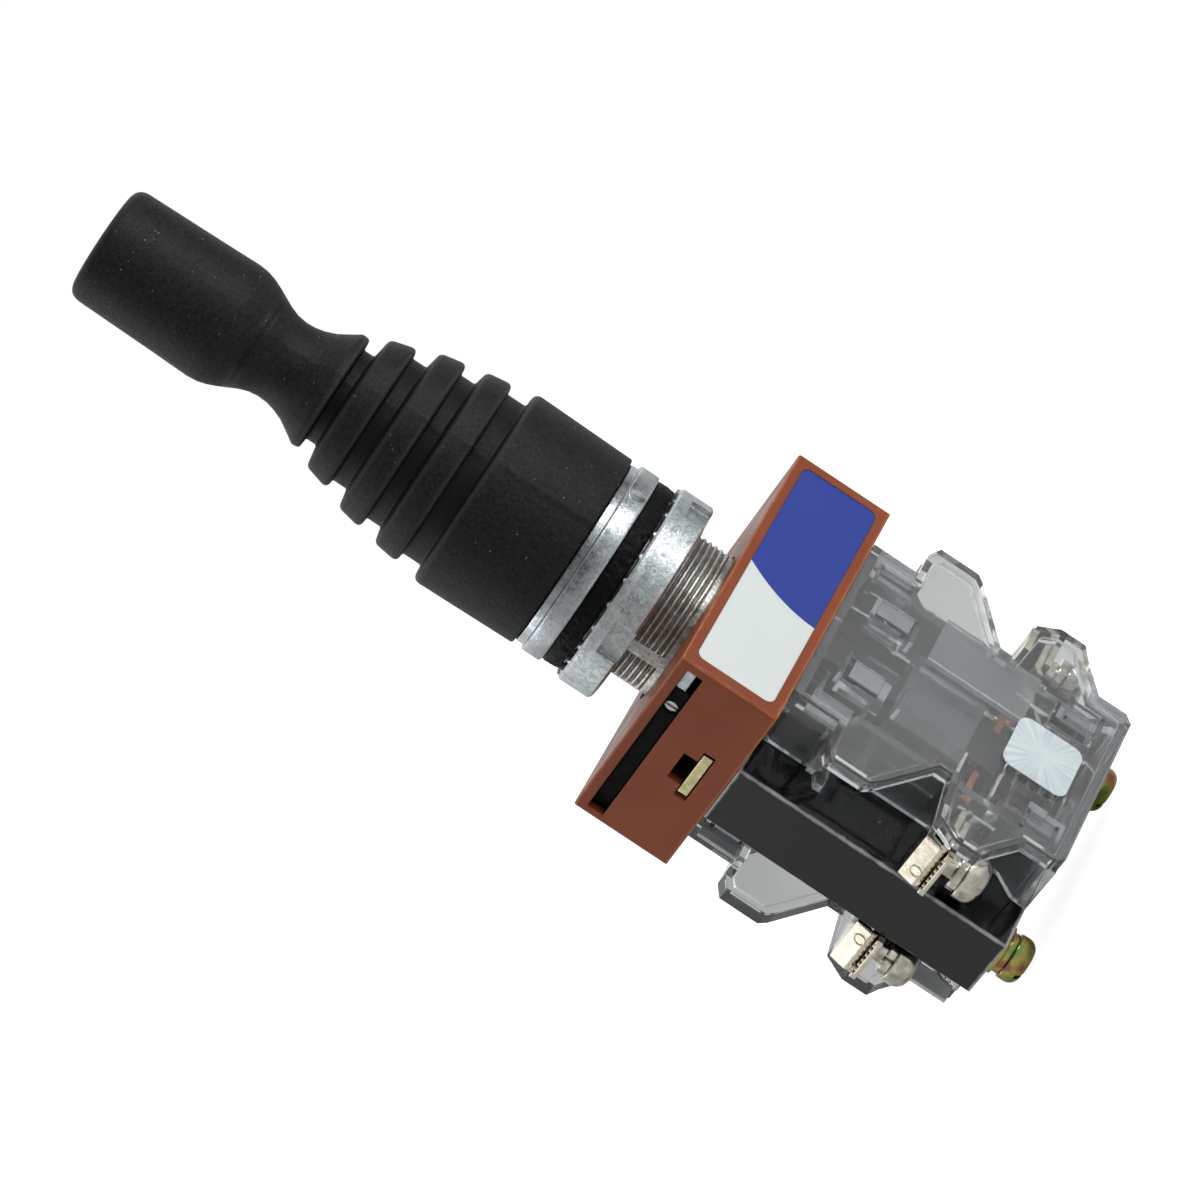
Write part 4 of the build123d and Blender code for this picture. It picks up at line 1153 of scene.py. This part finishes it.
@dataclass
class CoverRibs:
    """Clear ribs, boxes and walls moulded on the inner sides of both covers, in mm."""

    middle_y: float = 13.6
    upright_size: Point = (0.6, 2.1, 4.6)
    uprights: tuple[Pair, ...] = (
        (13.4, -30.0), (10.6, -30.4), (4.4, -31.6), (-2.3, -34.0), (-8.5, -34.0), (-12.9, -31.0),
        (8.9, -59.9), (12.3, -60.1), (-9.9, -61.0), (-13.0, -60.6))
    cross_size: Point = (4.4, 2.1, 0.6)
    crosses: tuple[Pair, ...] = (
        (11.9, -27.6), (12.0, -33.0), (6.6, -35.6), (-5.4, -29.5), (-5.4, -38.2), (-11.0, -28.2),
        (-11.0, -34.6), (10.8, -57.6), (10.8, -62.4), (-11.5, -58.8), (-11.5, -63.2))
    box_size: Point = (3.3, 0.6, 5.6)
    boxes: tuple[Pair, ...] = (
        (15.2, -29.4), (7.5, -32.0), (-5.4, -33.4), (-13.4, -30.6), (10.0, -59.4), (15.9, -62.3),
        (-9.4, -61.4))
    panel_size: Point = (8.4, 0.5, 14.6)
    panels: tuple[Pair, ...] = ((8.9, -45.8),)
    # Near-white rims and bars that paint highlights along the pale walls' edges.
    rim_size: Point = (0.3, 0.8, 14.6)
    rims: tuple[Pair, ...] = ((4.5, -45.8),)
    bar_size: Point = (4.6, 0.8, 0.4)
    bars: tuple[Pair, ...] = ((-8.8, -48.6), (-8.6, -53.8))

    def build(self) -> None:
        """Grows the ribs, the frosted boxes, and the pale walls with near-white rims and bars that paint
        highlights on their edges.
        """
        for name, spots, size, finish in (
            ("cover_upright_ribs", self.uprights, self.upright_size, MILKY_CLEAR),
            ("cover_cross_ribs", self.crosses, self.cross_size, MILKY_CLEAR),
            ("cover_frosted_boxes", self.boxes, self.box_size, FROSTED),
            ("cover_pale_panels", self.panels, self.panel_size, PALE_CLEAR),
            ("cover_panel_rims", self.rims, self.rim_size, BRIGHT_EDGE),
            ("cover_bright_bars", self.bars, self.bar_size, BRIGHT_EDGE),
        ):
            points = [(s * x, -s * self.middle_y, z) for s in (1, -1) for x, z in spots]
            piece = grown(self.tree(name), {"Size": tuple(side * MM for side in size)}, finish, points)
            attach(piece, Body.HOUSING.value)
            report(piece)

    def tree(self, name: str) -> Tree:
        """Builds the tree that stands a rib on each place.

        Args:
            name: Name of the tree.

        Returns:
            The tree, with its size as a named input.
        """
        tree, given = new_tree(name, {"Geometry": ("Places",), "Vector": ("Size",)})
        rib = add(tree, "GeometryNodeMeshCube", {"Size": given["Size"]})
        ribs = add(tree, "GeometryNodeInstanceOnPoints", {"Points": given["Places"], "Instance": rib})
        end_tree(tree, ribs, given["Finish"])
        return tree


@dataclass
class Terminals:
    """Serrated saddles and moulded rings of the four wire terminals, in mm."""

    screw_x: float = 20.1
    screw_y: float = 9.45
    ridge_z: float = -52.62
    ridge_r: float = 0.26
    ridge_l: float = 6.2
    ridge_pitch: float = 1.05
    ridge_count: int = 6
    ring_x: float = 22.71
    ring_from_middle: float = 1.75
    ring_z: float = -50.65
    ring_r: float = 0.8
    ring_wire: float = 0.13
    face_normal: Pair = (0.972, 0.236)

    def build(self) -> None:
        """Grows the serrations and the rings."""
        for tree, values, points in (
            (self.serration_tree(), {
                "Ridge radius": self.ridge_r * MM, "Ridge length": self.ridge_l * MM,
                "Pitch": self.ridge_pitch * MM, "Count": self.ridge_count,
            }, self.places(self.screw_x, self.screw_y, self.ridge_z)),
            (self.ring_tree(), {
                "Ring radius": self.ring_r * MM, "Wire radius": self.ring_wire * MM,
                "Normal out": self.face_normal[0], "Normal up": self.face_normal[1],
            }, self.places(self.ring_x, self.screw_y - self.ring_from_middle, self.ring_z)),
        ):
            piece = grown(tree, values, NICKEL, points)
            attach(piece, Body.HOUSING.value)
            report(piece)

    def places(self, x: float, y: float, z: float) -> list[Point]:
        """Gives the same spot on each of the four terminals."""
        return [(sx * x, sy * y, z) for sx in (-1, 1) for sy in (-1, 1)]

    def serration_tree(self) -> Tree:
        """Builds the tree that lays a row of round ridges on each saddle.

        Returns:
            The tree, with its sizes as named inputs.
        """
        tree, given = new_tree("saddle_serrations", {
            "Geometry": ("Places",), "Float": ("Ridge radius", "Ridge length", "Pitch"), "Int": ("Count",),
        })
        gaps = add(tree, "Math", {0: given["Count"], 1: 1.0}, operation="SUBTRACT")
        span = add(tree, "Math", {0: gaps, 1: given["Pitch"]}, operation="MULTIPLY")
        first = add(tree, "Math", {0: span, 1: -0.5}, operation="MULTIPLY")
        row = add(tree, "GeometryNodeMeshLine", {
            "Count": given["Count"], "Start Location": add(tree, "CombineXYZ", {"Y": first}),
            "Offset": add(tree, "CombineXYZ", {"Y": given["Pitch"]}),
        })
        ridge = add(tree, "GeometryNodeMeshCylinder", {"Vertices": 10, "Radius": given["Ridge radius"],
                                                       "Depth": given["Ridge length"]})
        laid = add(tree, "GeometryNodeInstanceOnPoints", {"Points": row, "Instance": ridge,
                                                          "Rotation": (0.0, math.pi / 2, 0.0)})
        comb = add(tree, "GeometryNodeRealizeInstances", {0: laid})
        combs = add(tree, "GeometryNodeInstanceOnPoints", {"Points": given["Places"], "Instance": comb})
        end_tree(tree, combs, given["Finish"])
        return tree

    def ring_tree(self) -> Tree:
        """Builds the tree that presses a plain ring on each terminal's leaning outer face.

        Returns:
            The tree, with its sizes as named inputs.
        """
        tree, given = new_tree("terminal_rings", {
            "Geometry": ("Places",), "Float": ("Ring radius", "Wire radius", "Normal out", "Normal up"),
        })
        circle, wire = (
            add(tree, "GeometryNodeCurvePrimitiveCircle", {"Resolution": steps, "Radius": given[radius]})
            for steps, radius in ((32, "Ring radius"), (8, "Wire radius"))
        )
        ring = add(tree, "GeometryNodeCurveToMesh", {"Curve": circle, "Profile Curve": wire})
        spot = add(tree, "SeparateXYZ", {0: add(tree, "GeometryNodeInputPosition")})
        side = add(tree, "Math", {0: spot}, operation="SIGN")
        out = add(tree, "Math", {0: side, 1: given["Normal out"]}, operation="MULTIPLY")
        normal = add(tree, "CombineXYZ", {"X": out, "Z": given["Normal up"]})
        turned = add(tree, "FunctionNodeAlignRotationToVector", {"Vector": normal}, axis="Z")
        rings = add(tree, "GeometryNodeInstanceOnPoints", {"Points": given["Places"], "Instance": ring,
                                                           "Rotation": turned})
        end_tree(tree, rings, given["Finish"])
        return tree


@dataclass
class Casings:
    """Dresses the solids that keep their CAD shape."""

    def build(self) -> None:
        """Gives each CAD node its finish."""
        for name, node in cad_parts.items():
            side, _, rest = name.partition("_")
            dress(node, BLOCK_FINISH[rest] if side in ("front", "back") else NODE_FINISH[name])
        log.info("casings: %d nodes dressed", len(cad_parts))


@dataclass
class Studio:
    """Pale floor, soft lamps, white surroundings and the camera of the photograph, in metres and watts."""

    floor_drop: float = 0.0006
    floor_half: float = 3.0
    floor_colour: str = "EDEDEB"
    floor_glow: float = 0.85
    glass_least: float = 0.6
    diffuse_light: float = 0.5
    bounces: int = 28
    lens: float = 180.0
    sensor: float = 36.0
    eye: Point = (-0.5686, -0.5234, 0.0299)
    right: Point = (0.35220, -0.42619, -0.83326)
    up: Point = (0.58277, -0.59679, 0.55157)
    back: Point = (-0.73235, -0.67986, 0.03818)
    room: Pair = (-0.35, 0.3)
    room_level: float = 0.36
    curtains: tuple[Point, ...] = ((-0.82, -0.57, 0.0), (0.73, -0.68, 0.0))
    curtain: Pair = (0.79, 0.91)
    curtain_level: float = 0.08
    lamps: tuple[tuple[str, Point, float, Pair, float], ...] = (
        ("key", (0.16, -0.92, 0.33), 0.62, (0.2, 0.56), 2.5),
        ("fill", (-0.5, 0.8, 0.3), 0.8, (0.4, 0.4), 0.9),
    )

    def build(self) -> None:
        """Sets up the floor, light and camera."""
        self.floor()
        self.world()
        for name, toward, distance, size, power in self.lamps:
            self.lamp(name, Vector(toward).normalized(), distance, size, power)
        self.camera()
        scene = bpy.context.scene
        scene.view_settings.view_transform = "Standard"
        scene.cycles.max_bounces = self.bounces
        scene.cycles.transmission_bounces = self.bounces
        log.info("studio: floor, lamps, world and camera")

    def floor(self) -> None:
        """Lays the floor just under the object."""
        mesh = bmesh.new()
        bmesh.ops.create_grid(mesh, x_segments=1, y_segments=1, size=2 * self.floor_half)
        bmesh.ops.translate(mesh, verts=mesh.verts, vec=(0, 0, CAD_BOX[0].z - self.floor_drop))
        floor = to_object("floor", mesh)
        paper = bpy.data.materials.new("white_paper_sweep")
        tree = emptied(paper)
        seen = add(tree, "LightPath").outputs["Is Camera Ray"]
        glow = add(tree, "Math", {0: seen, 1: self.floor_glow}, operation="MULTIPLY")
        light = add(tree, "Emission", {"Strength": glow})
        matt = add(tree, "BsdfDiffuse", {"Color": linear(self.floor_colour)})
        both = add(tree, "AddShader", {0: light, 1: matt})
        add(tree, "OutputMaterial", {"Surface": both})
        floor.data.materials.append(paper)

    def world(self) -> None:
        """Makes white surroundings with two dark curtains and a dim room on the photographer's side."""
        world = bpy.data.worlds.new("white_room")
        bpy.context.scene.world = world
        tree = emptied(world)
        way = add(tree, "TexCoord").outputs["Generated"]
        level = self.patch(way, self.back, self.room, self.room_level)
        for toward in self.curtains:
            dim = self.patch(way, toward, self.curtain, self.curtain_level)
            level = add(tree, "Math", {0: level, 1: dim}, operation="MULTIPLY")
        path = add(tree, "LightPath").outputs
        through = add(tree, "Math", {0: level, 1: self.glass_least}, operation="MAXIMUM")
        glossy = add(tree, "Mix", {0: path["Is Glossy Ray"], 2: self.diffuse_light, 3: level})
        clear = add(tree, "Mix", {0: path["Is Transmission Ray"], 2: glossy, 3: through})
        strength = add(tree, "Mix", {0: path["Is Camera Ray"], 2: clear, 3: 1.0})
        sky = add(tree, "Background", {"Color": (1, 1, 1, 1), "Strength": strength})
        add(tree, "OutputWorld", {"Surface": sky})

    def patch(self, way: Socket, toward: Point, cosines: Pair, level: float) -> Node:
        """Dims a soft round patch of the surroundings.

        Args:
            way: Socket that gives the direction.
            toward: Direction of the patch's middle.
            cosines: Cosines of the angles where the patch begins and where it is full.
            level: Level inside the patch.

        Returns:
            The level, which is 1 outside the patch.
        """
        facing = add(way, "VectorMath", {0: way, 1: toward}, operation="DOT_PRODUCT").outputs["Value"]
        return add(way, "MapRange", {0: facing, 1: cosines[0], 2: cosines[1], 3: 1.0, 4: level},
                   interpolation_type="SMOOTHSTEP")

    def lamp(self, name: str, way: Vector, distance: float, size: Pair, power: float) -> None:
        """Hangs a soft lamp that looks at the object.

        Args:
            name: Name of the lamp.
            way: Unit vector from the object to the lamp.
            distance: Distance of the lamp.
            size: Width and height of the lamp.
            power: Power of the lamp.
        """
        data = bpy.data.lights.new(name, "AREA")
        data.shape = "RECTANGLE"
        data.size, data.size_y, data.energy = *size, power
        lamp = bpy.data.objects.new(name, data)
        lamp.location = way * distance
        lamp.rotation_euler = (-way).to_track_quat("-Z", "Y").to_euler()
        bpy.context.scene.collection.objects.link(lamp)

    def camera(self) -> None:
        """Puts the camera where the photograph was taken from."""
        data = bpy.data.cameras.new("camera")
        data.lens, data.sensor_width = self.lens, self.sensor
        data.clip_end = 20.0
        camera = bpy.data.objects.new("camera", data)
        turn = Matrix((self.right, self.up, self.back)).transposed().to_4x4()
        camera.matrix_world = Matrix.Translation(self.eye) @ turn
        bpy.context.scene.collection.objects.link(camera)
        bpy.context.scene.camera = camera


def main() -> None:
    """Builds the control's looks in order."""
    logging.basicConfig(level=logging.INFO, format="%(name)s %(message)s")
    Casings().build()
    Springs().build()
    Boot().build()
    Head().build()
    Gasket().build()
    CoverRibs().build()
    Terminals().build()
    Studio().build()


if __name__ == "__main__":
    main()
